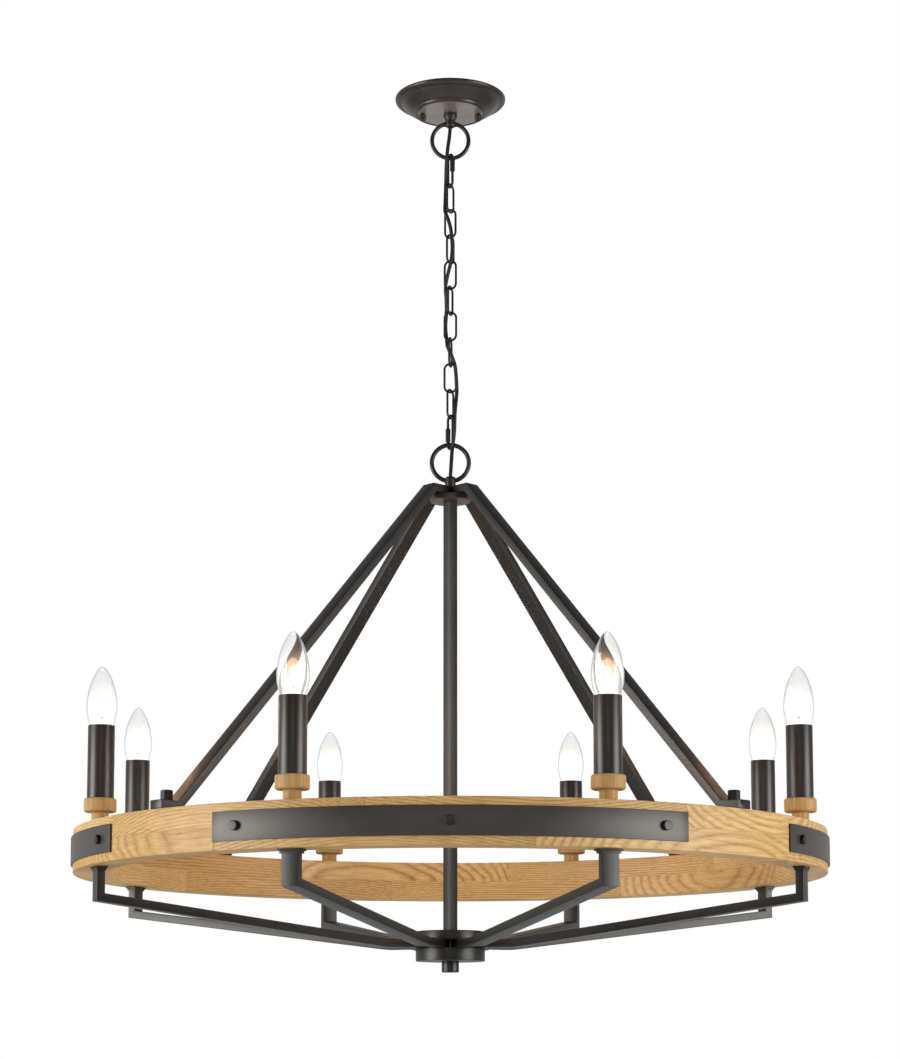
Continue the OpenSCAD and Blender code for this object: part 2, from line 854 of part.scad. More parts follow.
// A lead from its connector through the arm, up the riser and the nipple into the socket, in the
// plane of its arm; the first points are set for each arm's side of the hub
function lead_line(azimuth) =
  let (
    side = sin(azimuth) > 0 ? 1 : -1,
    turn = azimuth - 90,
    near = [side * (connector_x + lead_spread * (abs(cos(azimuth)) < 0.5 ? 1 : -1)),
      cos(azimuth) > 0 ? -lead_spread : lead_spread],
    local = [near[0] * cos(turn) + near[1] * sin(turn), near[1] * cos(turn) - near[0] * sin(turn)],
    slope = slope_drop / (candle_r - level_r)
  )
  concat(
    smooth_line([
      [local[0], local[1], connector_mouth_z - 4], [local[0], local[1], level_z],
      [(local[0] * 2 + arm_in_r) / 3, local[1] * 0.7, level_z + 4],
      [(local[0] + arm_in_r * 2) / 3, local[1] * 0.3, level_z + 3], [arm_in_r + 4, 0, level_z + 0.6]
    ]),
    [[arm_in_r + 14, 0, level_z], [level_r - 4, 0, level_z], [level_r + 12, 0, level_z + slope * 12]],
    [[candle_r - 22, 0, corner_z - slope * 22], [candle_r - 12, 0, corner_z - slope * 10]],
    [[candle_r - 5, 0, corner_z - 0.9], [candle_r - 1.6, 0, corner_z + 1], [candle_r, 0, corner_z + 5.5]],
    [[candle_r, 0, ring_low_z], [candle_r, 0, sleeve_z + 8]]
  );

module arm_leads() {
  color(black)
    for (i = [0:7])
      at_azimuth(first_candle_azimuth + 45 * i)
        tube_along(lead_line(first_candle_azimuth + 45 * i), lead_d, thin_fn);
}

// ---- candles

module socket_nipples() {
  color(bright)
    at_candles(candle_r)
      tube(nipple_d, nipple_bore, ring_low_z - foot_t + 0.5, sleeve_z + 6);
}

module candle_cups() {
  r = cup_d / 2;
  color(honey)
    at_candles(candle_r)
      translate([0, 0, ring_z])
        rotate_extrude()
          polygon([
            [nipple_d / 2 + fit, 0], [neck_d / 2, 0], [neck_d / 2, neck_h - 1], [neck_d / 2 + 1, neck_h],
            [r - cup_chamfer, neck_h], [r, neck_h + cup_chamfer], [r, neck_h + cup_h - cup_chamfer],
            [r - cup_chamfer, neck_h + cup_h], [nipple_d / 2 + fit, neck_h + cup_h]
          ]);
}

module candle_sleeves() {
  color(dark)
    at_candles(candle_r)
      tube(candle_d, candle_d - 2 * candle_wall, sleeve_z, tip_z);
}

// A socket: a base on the nipple and a shell that takes the bulb's screw
module sockets() {
  high = candle_h - glass_neck_depth - screw_in_play;
  color(dark)
    at_candles(candle_r)
      translate([0, 0, sleeve_z])
        difference() {
          cylinder(d = socket_d, h = high);
          translate([0, 0, high - base_len])
            cylinder(d = base_d + 2 * screw_in_play, h = base_len + past);
          translate([0, 0, -past])
            cylinder(d = nipple_d + 2 * fit, h = 7 + past);
          cylinder(d = nipple_bore, h = 12);
        }
}

// A bulb's outline: radius as a share of the greatest one, height as a share of the glass above the
// widest place
bulb_top = [
  [1, 0], [0.985, 0.12], [0.94, 0.26], [0.86, 0.42], [0.74, 0.58], [0.58, 0.73], [0.4, 0.86], [0.22, 0.95],
  [0.08, 0.99]
];
bulb_wide = 22;

function bulb_outline(wall) =
  let (r = bulb_d / 2 - wall, top = bulb_h - bulb_wide - wall)
  concat(
    [[0, -glass_neck_depth + wall], [base_d / 2 + 0.6 - wall, -glass_neck_depth + wall]],
    [[bulb_d * 0.24 - wall, -15], [bulb_d * 0.34 - wall, -7], [bulb_d * 0.388 - wall, 0]],
    [[bulb_d * 0.45 - wall, 8], [bulb_d * 0.488 - wall, 15]],
    [for (p = bulb_top) [r * p[0], bulb_wide + top * p[1]]],
    [[0, bulb_wide + top]]
  );

module bulb(i) {
  low = -glass_neck_depth - base_len + 0.8;
  color(glass)
    at_azimuth(first_candle_azimuth + 45 * i)
      translate([candle_r, 0, tip_z])
        difference() {
          union() {
            rotate_extrude()
              polygon(bulb_outline(0));
            translate([0, 0, low + 3])
              cylinder(d = base_d, h = base_len - 3.3);
            translate([0, 0, low])
              cylinder(d1 = 5, d2 = base_d, h = 3);
          }
          rotate_extrude()
            polygon(bulb_outline(bulb_wall));
        }
}

mounting_strap();
strap_screws();
canopy();
canopy_nuts();
canopy_loop();
loop_nipple();
nipple_nut();
quick_link_top();
quick_link_top_sleeve();
chain_link(0);  // chain_link_1
chain_link(1);  // chain_link_2
chain_link(2);  // chain_link_3
chain_link(3);  // chain_link_4
chain_link(4);  // chain_link_5
chain_link(5);  // chain_link_6
chain_link(6);  // chain_link_7
chain_link(7);  // chain_link_8
chain_link(8);  // chain_link_9
quick_link_bottom();
quick_link_bottom_sleeve();
supply_cord();
body_loop();
hub_plate();
upper_arm(0);  // upper_arm_1
upper_arm(1);  // upper_arm_2
upper_arm(2);  // upper_arm_3
upper_arm(3);  // upper_arm_4
stem();
stem_pipe();
ring_studs();
ring_nuts();
ring_upper();
ring_lower();
bands();
band_bolts();
hub_cover();
hub_body();
finial();
wire_connectors();
lower_arm(0);  // lower_arm_1
lower_arm(1);  // lower_arm_2
lower_arm(2);  // lower_arm_3
lower_arm(3);  // lower_arm_4
lower_arm(4);  // lower_arm_5
lower_arm(5);  // lower_arm_6
lower_arm(6);  // lower_arm_7
lower_arm(7);  // lower_arm_8
arm_leads();
socket_nipples();
candle_cups();
candle_sleeves();
sockets();
bulb(0);  // bulb_1
bulb(1);  // bulb_2
bulb(2);  // bulb_3
bulb(3);  // bulb_4
bulb(4);  // bulb_5
bulb(5);  // bulb_6
bulb(6);  // bulb_7
bulb(7);  // bulb_8
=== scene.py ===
import json
import math
import random

import bmesh
import bpy
from mathutils import Matrix, Vector


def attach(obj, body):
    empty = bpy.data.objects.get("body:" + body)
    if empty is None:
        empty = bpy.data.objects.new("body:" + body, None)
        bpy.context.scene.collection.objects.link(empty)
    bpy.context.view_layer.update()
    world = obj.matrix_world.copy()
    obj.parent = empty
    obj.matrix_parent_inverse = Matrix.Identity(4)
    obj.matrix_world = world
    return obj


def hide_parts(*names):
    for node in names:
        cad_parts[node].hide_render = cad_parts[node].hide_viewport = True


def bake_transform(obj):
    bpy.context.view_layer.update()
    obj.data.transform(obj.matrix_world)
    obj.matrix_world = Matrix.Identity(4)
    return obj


# Lengths are in millimetres up to the moment a mesh is made; azimuths are counted from the front
# towards +X, in degrees.
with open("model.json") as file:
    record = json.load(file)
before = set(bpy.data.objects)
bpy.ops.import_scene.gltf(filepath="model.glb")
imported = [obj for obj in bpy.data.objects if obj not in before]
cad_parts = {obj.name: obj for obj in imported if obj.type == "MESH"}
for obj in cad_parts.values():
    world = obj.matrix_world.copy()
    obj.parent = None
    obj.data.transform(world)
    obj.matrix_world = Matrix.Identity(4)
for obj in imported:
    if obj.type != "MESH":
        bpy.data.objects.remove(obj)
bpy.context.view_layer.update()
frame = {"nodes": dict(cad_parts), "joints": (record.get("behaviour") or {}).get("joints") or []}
scene = bpy.context.scene
mm = 0.001
random.seed(11)

# metres, degrees, millimetres of lens, and shares of the picture's longer side
shot = {"place": (0, -3.0042, -1.2104), "tilt": 7, "lens": 84.06, "shift": (-0.0003, 0.2171)}

# heights from the ceiling down
levels = {
    "face": -19.2, "topLoop": -54.6, "lowLoop": -470.7, "armTop": -503.1, "stemTop": -519.9,
    "wheelTop": -935.1, "glue": -960.6, "wheelLow": -986.1, "sleeveLow": -907.6, "sleeveTop": -822.8,
    "corner": -1021.6, "armLevel": -1067.8, "coverTop": -1052.0, "bodyLow": -1088.2,
}
candleAzimuths = [22.5 + 45 * i for i in range(8)]
candleR = 437
pipeHole = 5.15


def buildCamera():
    data = bpy.data.cameras.new("camera")
    data.sensor_width = 36
    data.lens = shot["lens"]
    data.shift_x, data.shift_y = shot["shift"]
    camera = bpy.data.objects.new("camera", data)
    camera.location = shot["place"]
    camera.rotation_euler = (math.radians(90 + shot["tilt"]), 0, 0)
    scene.collection.objects.link(camera)
    scene.camera = camera


buildCamera()


# shapes: each is a list of points and a list of faces

# Rounds the corners of a flat outline; cuts is one length or one for each point.
def soften(points, cuts, closed=False, steps=3):
    if not isinstance(cuts, (list, tuple)):
        cuts = [cuts] * len(points)
    most, straight = 0.45, math.radians(165)  # longest cut as a share of a side, and the least bend to round
    result = []
    count = len(points)
    for i, point in enumerate(points):
        here = Vector(point)
        if not closed and i in (0, count - 1):
            result.append(tuple(here))
            continue
        back = Vector(points[i - 1]) - here
        on = Vector(points[(i + 1) % count]) - here
        cut = min(cuts[i], back.length * most, on.length * most)
        if cut < 1e-4 or back.angle(on) > straight:
            result.append(tuple(here))
            continue
        a = here + back.normalized() * cut
        b = here + on.normalized() * cut
        for k in range(steps + 1):
            t = k / steps
            result.append(tuple(a * (1 - t) ** 2 + here * 2 * t * (1 - t) + b * t * t))
    return result


# One more point between each two, on a smooth line.
def finer(points):
    points = [Vector(p) for p in points]
    last = len(points) - 1
    result = [points[0]]
    for i in range(last):
        a, b, c, d = points[max(i - 1, 0)], points[i], points[i + 1], points[min(i + 2, last)]
        result += [((b + c) * 9 - a - d) / 16, c]
    return result


def lathe(profile, sides=64, closed=False):
    points, faces, rings = [], [], []
    for r, z in profile:
        count = 1 if r < 1e-6 else sides
        rings.append([len(points) + j for j in range(count)])
        for j in range(count):
            a = 2 * math.pi * j / sides
            points.append((r * math.cos(a), r * math.sin(a), z))
    pairs = list(zip(rings, rings[1:])) + ([(rings[-1], rings[0])] if closed else [])
    for high, low in pairs:
        for j in range(sides):
            k = (j + 1) % sides
            face = [high[j % len(high)], low[j % len(low)], low[k % len(low)], high[k % len(high)]]
            face = list(dict.fromkeys(face))
            if len(face) > 2:
                faces.append(face)
    return points, faces


def ringFaces(rings, closed=False, caps=True):
    faces = []
    pairs = list(zip(rings, rings[1:])) + ([(rings[-1], rings[0])] if closed else [])
    for a, b in pairs:
        for j in range(len(a)):
            k = (j + 1) % len(a)
            faces.append([a[j], b[j], b[k], a[k]])
    if caps and not closed:
        faces += [rings[0][::-1], rings[-1]]
    return faces


# A round wire along a path; shares makes it thinner at some of the path's points.
def wire(path, radius, sides=14, closed=False, shares=None):
    path = [Vector(p) for p in path]
    count = len(path)
    points, rings, side = [], [], None
    for i, here in enumerate(path):
        before = path[i - 1] if closed or i else here
        after = path[(i + 1) % count] if closed or i < count - 1 else here
        along = (after - before).normalized()
        side = side or along.orthogonal()
        side = (side - along * side.dot(along)).normalized()
        up = along.cross(side)
        r = radius * (shares[i] if shares else 1)
        rings.append([len(points) + j for j in range(sides)])
        for j in range(sides):
            a = 2 * math.pi * j / sides
            points.append(here + (side * math.cos(a) + up * math.sin(a)) * r)
    return points, ringFaces(rings, closed)


def rectangle(width, thick, edge):
    a, b = thick / 2, width / 2
    corners = [(a, b), (-a, b), (-a, 0), (-a, -b), (a, -b), (a, 0)]
    return soften(corners, edge, closed=True)


# A bar with mitred bends along a line in the XZ plane. With wedge, its start is cut to a point.
def bar(line, section, bevel=0.6, wedge=False):
    line = [Vector(p) for p in line]
    last = len(line) - 1
    rings, points = [], []

    def ring(place, step, inset, cut=False):
        rings.append([len(points) + j for j in range(len(section))])
        for u, v in section:
            reach = abs(v) + 0.1 if cut else 0
            x = place.x + step.x * u * inset + reach * forward.x
            z = place.y + step.y * u * inset + reach * forward.y
            points.append((x, v * inset, z))

    thick = max(u for u, v in section)
    inset = 1 - bevel / thick
    for i in range(last + 1):
        before = (line[i] - line[i - 1]).normalized() if i else (line[1] - line[0]).normalized()
        forward = before if i == last else (line[i + 1] - line[i]).normalized()
        n1, n2 = Vector((-before.y, before.x)), Vector((-forward.y, forward.x))
        step = (n1 + n2) / (1 + n1.dot(n2))
        if i == 0 and wedge:
            ring(line[0], step, 1, True)
        elif i == 0:
            ring(line[0], step, inset)
            ring(line[0] + forward * bevel, step, 1)
        elif i == last:
            ring(line[last] - before * bevel, step, 1)
            ring(line[last], step, inset)
        else:
            ring(line[i], step, 1)
    faces = ringFaces(rings, caps=False) + [rings[-1]]
    if wedge:
        middle = max(v for u, v in section) / 2
        for side in (1, -1):
            half = [j for j, (u, v) in zip(rings[0], section) if v * side > -1e-6]
            half.sort(key=lambda j: math.atan2(points[j][2] - line[0].y, abs(points[j][1]) - middle))
            faces.append(half)
    else:
        faces.append(rings[0][::-1])
    return points, faces


# A bar bent round the middle, between two azimuths.
def arcBar(inner, outer, low, high, start, end, steps, edges, bevel):
    corners = [(inner, low), (outer, low), (outer, high), (inner, high)]
    section = soften(corners, edges, closed=True, steps=2)
    middle = Vector(((inner + outer) / 2, (low + high) / 2))
    slim = [tuple(Vector(p) + (middle - Vector(p)).normalized() * bevel) for p in section]
    turn = math.degrees(bevel / outer)
    stops = [(start, slim), (start + turn, section)]
    stops += [(start + (end - start) * k / steps, section) for k in range(1, steps)]
    stops += [(end - turn, section), (end, slim)]
    points, rings = [], []
    for azimuth, outline in stops:
        a = math.radians(azimuth)
        rings.append([len(points) + j for j in range(len(outline))])
        points += [(r * math.sin(a), -r * math.cos(a), z) for r, z in outline]
    return points, ringFaces(rings)


# A box with rounded edges, from its three pairs of limits.
def block(x, y, z, edge=0.5):
    section = rectangle(y[1] - y[0], z[1] - z[0], edge)
    height = (z[0] + z[1]) / 2
    points, faces = bar([(x[0], height), (x[1], height)], section, edge)
    return [(p[0], p[1] + (y[0] + y[1]) / 2, p[2]) for p in points], faces


# A six-sided nut with its top corners turned off.
def hexNut(across, height):
    sides = 48
    topShare, slope = 0.46, 0.55  # the round top's radius over the width, and the slope of the cut corners
    points, rings = [], []
    for level in ("low", "side", "top"):
        rings.append([len(points) + j for j in range(sides)])
        for j in range(sides):
            a = 2 * math.pi * j / sides
            off = (math.degrees(a) + 30) % 60 - 30
            r = across / 2 / math.cos(math.radians(off))
            z = {"low": 0, "side": height - (r - across * topShare) * slope, "top": height}[level]
            r = across * topShare if level == "top" else r
            points.append((r * math.cos(a), r * math.sin(a), z))
    return points, ringFaces(rings)


def moved(shape, x=0, y=0, z=0, turn=0):
    turning = Matrix.Rotation(math.radians(turn), 3, "Z")
    return [turning @ Vector(p) + Vector((x, y, z)) for p in shape[0]], shape[1]


def atAzimuth(shape, azimuth, r=0, z=0):
    return moved(moved(shape, r, 0, z), turn=azimuth - 90)


def together(shapes):
    points, faces = [], []
    for shapePoints, shapeFaces in shapes:
        faces += [[i + len(points) for i in face] for face in shapeFaces]
        points += list(shapePoints)
    return points, faces


# Makes a piece from a shape: slot is not used; replaced the CAD nodes that it stands for.
def addPiece(name, shape, material, body=None, slot="bronze", replaced=(), outward=True, sharp=32):
    mesh = bpy.data.meshes.new(name)
    mesh.from_pydata([tuple(Vector(p) * mm) for p in shape[0]], [], shape[1])
    if outward:
        bm = bmesh.new()
        bm.from_mesh(mesh)
        bmesh.ops.recalc_face_normals(bm, faces=bm.faces)
        bm.to_mesh(mesh)
        bm.free()
    mesh.shade_smooth()
    mesh.set_sharp_from_angle(angle=math.radians(sharp))
    mesh.materials.append(material)
    piece = bpy.data.objects.new(name, mesh)
    scene.collection.objects.link(piece)
    if body:
        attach(piece, body)
    if replaced:
        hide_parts(*replaced)
    return piece


# materials

def startMaterial(name):
    material = bpy.data.materials.new(name)
    material.use_nodes = True
    tree = material.node_tree
    tree.nodes.clear()
    output = tree.nodes.new("ShaderNodeOutputMaterial")
    return material, tree, output


# This and the next few add a node: addNode gives the node itself, the others the output that is used.
def addNode(tree, kind, inputs=None, **settings):
    node = tree.nodes.new(kind)
    for key, value in settings.items():
        setattr(node, key, value)
    for key, value in (inputs or {}).items():
        if isinstance(value, bpy.types.NodeSocket):
            tree.links.new(value, node.inputs[key])
        else:
            node.inputs[key].default_value = value
    return node


# A stop's tone is a colour or one grey value.
def addRamp(tree, value, stops):
    node = addNode(tree, "ShaderNodeValToRGB", {"Fac": value})
    ramp = node.color_ramp
    while len(ramp.elements) < len(stops):
        ramp.elements.new(0.5)
    for element, (place, tone) in zip(ramp.elements, stops):
        element.position = place
        element.color = (*tone, 1) if isinstance(tone, tuple) else (tone, tone, tone, 1)
    return node.outputs["Color"]


def addNoise(tree, place, scale, detail, rough=0.5):
    node = addNode(tree, "ShaderNodeTexNoise", {
        "Vector": place, "Scale": scale, "Detail": detail, "Roughness": rough})
    return node.outputs["Fac"]


def addRange(tree, value, low, high, start=0.0, end=1.0):
    node = addNode(tree, "ShaderNodeMapRange", {
        "Value": value, "From Min": low, "From Max": high, "To Min": start, "To Max": end})
    return node.outputs["Result"]


def addMix(tree, share, first, second, kind="MIX"):
    node = addNode(tree, "ShaderNodeMix", {0: share, 6: first, 7: second}, data_type="RGBA", blend_type=kind)
    return node.outputs[2]


def addBump(tree, height, strength, distance=0.0002):
    node = addNode(tree, "ShaderNodeBump", {"Height": height, "Strength": strength, "Distance": distance})
    return node.outputs["Normal"]


def objectPlace(tree):
    return addNode(tree, "ShaderNodeTexCoord").outputs["Object"]


# The material's last node.
def addSurface(tree, output, inputs):
    shader = addNode(tree, "ShaderNodeBsdfPrincipled", inputs)
    tree.links.new(shader.outputs["BSDF"], output.inputs["Surface"])


metalLooks = {
    # dark tone, light tone, metallic, roughness, shine, grain
    "bronze": [(0.016, 0.0152, 0.0140), (0.026, 0.0247, 0.0230), 0.5, 0.38, 0.8, 0.12],
    "band": [(0.068, 0.061, 0.057), (0.088, 0.080, 0.074), 0.55, 0.42, 0.5, 0.12],
    # the canopy's flat face: a lighter copy of the bronze, a painted reflection of the bright floor below
    "face_painted_reflection": [(0.33, 0.309, 0.292), (0.37, 0.348, 0.330), 0.7, 0.36, 0.5, 0.12],
    "canopy": [(0.034, 0.031, 0.028), (0.050, 0.046, 0.043), 0.6, 0.30, 0.8, 0.12],
    "chain": [(0.013, 0.012, 0.011), (0.022, 0.020, 0.019), 0.2, 0.45, 0.4, 0.04],
    "sleeve": [(0.036, 0.032, 0.028), (0.046, 0.041, 0.037), 0.6, 0.35, 0.7, 0.12],
    "steel": [(0.36, 0.35, 0.34), (0.5, 0.49, 0.47), 0.9, 0.35, 0.5, 0.12],
    "brass": [(0.52, 0.36, 0.15), (0.68, 0.50, 0.24), 0.95, 0.28, 0.5, 0.12],
}


# A coat of paint over metal: slow changes of tone, a fine grain in the gloss and in the surface.
def metalMaterial(name):
    dark, light, metallic, rough, shine, grain = metalLooks[name]
    material, tree, output = startMaterial(name)
    place = objectPlace(tree)
    clouds = addNoise(tree, place, 14, 4, 0.6)
    grains = addNoise(tree, place, 1100, 2)
    addSurface(tree, output, {
        "Base Color": addRamp(tree, clouds, [(0.3, dark), (0.7, light)]),
        "Roughness": addRange(tree, clouds, 0.3, 0.7, rough - 0.03, rough + 0.05),
        "Metallic": metallic, "Specular IOR Level": shine, "Normal": addBump(tree, grains, grain)})
    return material


woodLooks = {
    "wood": {
        "early": (0.68, 0.430, 0.165), "late": (0.43, 0.230, 0.072), "pale": (0.78, 0.540, 0.235),
        "ringGap": 0.0033, "sway": 0.018, "rough": 0.5, "shine": 0.45,
    },
    "cupWood": {
        "early": (0.56, 0.36, 0.145), "late": (0.50, 0.315, 0.12), "pale": (0.60, 0.395, 0.165),
        "ringGap": 0.0045, "sway": 0.012, "rough": 0.5, "shine": 0.3,
    },
}


# Open-pored wood. Points come from the board attribute: Y runs along the board.
def woodMaterial(name):
    look = woodLooks[name]
    material, tree, output = startMaterial(name)
    board = addNode(tree, "ShaderNodeAttribute", attribute_name="board").outputs["Vector"]
    tint = addNode(tree, "ShaderNodeAttribute", attribute_name="tint").outputs["Fac"]

    def addVector(operation, first, second):
        node = addNode(tree, "ShaderNodeVectorMath", {0: first, 1: second}, operation=operation)
        return node.outputs["Vector"]

    def stretched(share):
        return addVector("MULTIPLY", board, (1, share, 1))

    waveGap = 0.314  # distance of the wave texture's rings at scale 1
    early, late, pale = look["early"], look["late"], look["pale"]
    sway = addNode(tree, "ShaderNodeTexNoise", {"Vector": stretched(0.22), "Scale": 16, "Detail": 3})
    centred = addVector("SUBTRACT", sway.outputs["Color"], (0.5, 0.5, 0.5))
    bent = addVector("ADD", board, addVector("MULTIPLY", centred, (look["sway"],) * 3))
    rings = addNode(tree, "ShaderNodeTexWave", {
        "Vector": bent, "Scale": waveGap / look["ringGap"], "Distortion": 1.2, "Detail": 3,
        "Detail Scale": 2.2, "Detail Roughness": 0.6},
        wave_type="RINGS", rings_direction="Y", wave_profile="SAW").outputs["Fac"]
    strong = addRamp(tree, rings, [(0.0, late), (0.10, early), (0.45, pale), (0.75, early), (0.95, late)])
    plain = addRamp(tree, rings, [(0.0, early), (0.5, pale), (1.0, early)])
    worn = addNoise(tree, stretched(0.12), 34, 3)
    colour = addMix(tree, addRange(tree, worn, 0.35, 0.65, 0.3, 1.0), plain, strong)
    fibres = addNoise(tree, stretched(0.03), 460, 3, 0.65)
    fibreTone = addRamp(tree, fibres, [(0.30, (0.70, 0.61, 0.50)), (0.60, 1.0)])
    patches = addNoise(tree, stretched(0.3), 11, 2)
    patchTone = addRamp(tree, patches, [(0.35, (0.90, 0.86, 0.80)), (0.65, (1.06, 1.05, 1.04))])
    pores = addRange(tree, addNoise(tree, stretched(0.045), 1500, 1), 0.62, 0.72)
    poreTone = addRamp(tree, pores, [(0.0, 1.0), (1.0, (0.62, 0.52, 0.42))])
    tintTone = addRamp(tree, tint, [(0.0, (0.84, 0.77, 0.68)), (0.5, 1.0), (1.0, (1.07, 1.11, 1.16))])
    for tone, share in ((fibreTone, 0.8), (patchTone, 1.0), (poreTone, 0.55), (tintTone, 1.0)):
        colour = addMix(tree, share, colour, tone, "MULTIPLY")
    height = addNode(tree, "ShaderNodeMath", {0: rings, 1: pores}, operation="SUBTRACT").outputs["Value"]
    addSurface(tree, output, {
        "Base Color": colour, "Roughness": look["rough"], "Specular IOR Level": look["shine"],
        "Normal": addBump(tree, height, 0.25, 0.0003)})
    return material


def cordMaterial():
    material, tree, output = startMaterial("cord")
    weave = addNode(tree, "ShaderNodeTexVoronoi", {"Vector": objectPlace(tree), "Scale": 1300})
    weave = weave.outputs["Distance"]
    tone = addRamp(tree, weave, [(0.0, (0.016, 0.015, 0.015)), (0.6, 0.008)])
    addSurface(tree, output, {"Base Color": tone, "Roughness": 0.55, "Normal": addBump(tree, weave, 0.3)})
    return material


def plasticMaterial():
    material, tree, output = startMaterial("plastic")
    grain = addNoise(tree, objectPlace(tree), 700, 2)
    tone = addRamp(tree, grain, [(0.3, (0.018, 0.017, 0.016)), (0.7, (0.030, 0.028, 0.027))])
    addSurface(tree, output, {"Base Color": tone, "Roughness": 0.45, "Normal": addBump(tree, grain, 0.2)})
    return material


glassLook = {
    "ior": 1.45, "paintedGlowHeight": 70,
    # from the middle of the glass, as it is seen, to its rim: painted shade, a darker tint towards the rim
    # that stands in for dark reflections along the bulb's outline
    "tones": [
        (0.0, (0.955, 0.955, 0.953)), (0.45, (0.93, 0.932, 0.935)), (0.62, (0.80, 0.803, 0.806)),
        (0.76, (0.50, 0.504, 0.508)), (0.92, (0.25, 0.254, 0.258)), (1.0, (0.12, 0.125, 0.13))],
    "paintedGlowInward": [(0.0, 1), (0.4, 0.6), (0.64, 0.10), (0.8, 0)],
    # painted glow, an emission on the glass for the lit filament's haze: from the sleeve up
    "paintedGlow": [
        (0.0, (0.13, 0.128, 0.120)), (0.3, (0.15, 0.147, 0.135)), (0.46, (0.10, 0.088, 0.062)),
        (0.58, (0.05, 0.032, 0.014)), (0.7, (0.016, 0.010, 0.005)), (0.85, (0.002, 0.001, 0.001)), (1.0, 0)],
}


# Clear glass with faint waves and a painted glow for the lit filament's haze, an emission on the glass
# itself; shadow rays pass, so that it lights what is near.
def glassMaterial():
    look = glassLook
    material, tree, output = startMaterial("glass")
    place = objectPlace(tree)
    waves = addNoise(tree, place, 55, 1)
    rim = addNode(tree, "ShaderNodeLayerWeight", {"Blend": 0.5}).outputs["Facing"]
    height = addNode(tree, "ShaderNodeSeparateXYZ", {"Vector": place}).outputs["Z"]
    low = levels["sleeveTop"]
    rise = addRange(tree, height, low * mm, (low + look["paintedGlowHeight"]) * mm)
    paintedGlow = addRamp(tree, rise, look["paintedGlow"])
    inward = addRamp(tree, rim, look["paintedGlowInward"])
    shader = addNode(tree, "ShaderNodeBsdfPrincipled", {
        # the glass's tint darkens towards the rim as seen: painted shade
        "Base Color": addRamp(tree, rim, look["tones"]), "Roughness": 0.0, "IOR": look["ior"],
        # the glass's emission is painted glow, strongest low in the bulb and in its middle as seen
        "Transmission Weight": 1.0, "Emission Color": addMix(tree, 1.0, paintedGlow, inward, "MULTIPLY"),
        "Emission Strength": 1.0, "Normal": addBump(tree, waves, 0.05, 0.0005)})
    clear = addNode(tree, "ShaderNodeBsdfTransparent")
    rays = addNode(tree, "ShaderNodeLightPath")
    mix = addNode(tree, "ShaderNodeMixShader", {
        0: rays.outputs["Is Shadow Ray"], 1: shader.outputs["BSDF"], 2: clear.outputs["BSDF"]})
    tree.links.new(mix.outputs["Shader"], output.inputs["Surface"])
    return material


def filamentMaterial():
    material, tree, output = startMaterial("filament")
    flicker = addNoise(tree, objectPlace(tree), 260, 1)
    tone = addRamp(tree, flicker, [(0.3, (1.0, 0.62, 0.30)), (0.7, (1.0, 0.82, 0.55))])
    shader = addNode(tree, "ShaderNodeEmission", {"Color": tone, "Strength": 18})
    tree.links.new(shader.outputs["Emission"], output.inputs["Surface"])
    return material


bronze = metalMaterial("bronze")
bandMetal = metalMaterial("band")
facePaintedReflection = metalMaterial("face_painted_reflection")
canopyMetal = metalMaterial("canopy")
chainMetal = metalMaterial("chain")
sleeveMetal = metalMaterial("sleeve")
steel = metalMaterial("steel")
brass = metalMaterial("brass")
wood = woodMaterial("wood")
cupWood = woodMaterial("cupWood")
cordSkin = cordMaterial()
plastic = plasticMaterial()
glass = glassMaterial()
filament = filamentMaterial()


# Writes the point inside the board, and the board's tint, that the wood material reads.
def setBoard(piece, placed, tint):
    mesh = piece.data
    mesh.attributes.new("board", "FLOAT_VECTOR", "POINT")
    mesh.attributes.new("tint", "FLOAT", "POINT")
    points = [vertex.co.copy() for vertex in mesh.vertices]
    for point, entry in zip(points, mesh.attributes["board"].data):
        entry.vector = placed(point)
    for entry in mesh.attributes["tint"].data:
        entry.value = tint


# supply cord: the route of the CAD part, in metres

cordChain = [
    (0, 0, -0.001), (0, 0, -0.032), (-0.0005, -0.001, -0.042), (-0.0015, -0.0025, -0.053),
    (-0.003, -0.0045, -0.064), (-0.004, -0.006, -0.075), (-0.005, -0.005, -0.089),
    (-0.0055, -0.001, -0.106), (-0.006, -0.0005, -0.123), (-0.0065, -0.001, -0.138),
    (-0.0065, -0.0025, -0.148), (-0.003, -0.0045, -0.158), (0, -0.0055, -0.169), (0.0015, -0.006, -0.180),
    (0.0025, -0.0055, -0.197), (0.001, -0.006, -0.213), (-0.003, -0.0045, -0.230), (-0.006, -0.003, -0.246),
    (-0.005, 0.001, -0.262), (-0.005, 0.0045, -0.278), (-0.006, 0.005, -0.295), (-0.0045, 0.005, -0.312),
    (-0.0035, 0.0025, -0.321), (0, 0.001, -0.329), (0.0035, 0.0025, -0.338), (0.006, 0.0045, -0.346),
    (0.0075, 0.005, -0.363), (0.008, 0.0045, -0.380), (0.0065, 0.001, -0.397), (0.0055, 0, -0.412),
    (0.005, 0.0015, -0.430), (0.003, 0.006, -0.447), (0.002, 0.006, -0.456), (0.001, 0.0025, -0.473),
    (0, 0, -0.489),
]
cordDrop = [
    (0, 0, -0.503), (0, 0, -0.530), (0, 0, -0.700), (0, 0, -0.920), (0, 0, -1.0498), (0.0003, 0, -1.0548),
    (0.0014, 0, -1.0598), (0.0036, 0, -1.0638), (0.0062, 0, -1.0658), (0.0088, 0, -1.0666),
]
cordLook = {"diameter": 4.7, "bendReach": 11, "leastStep": 0.3}


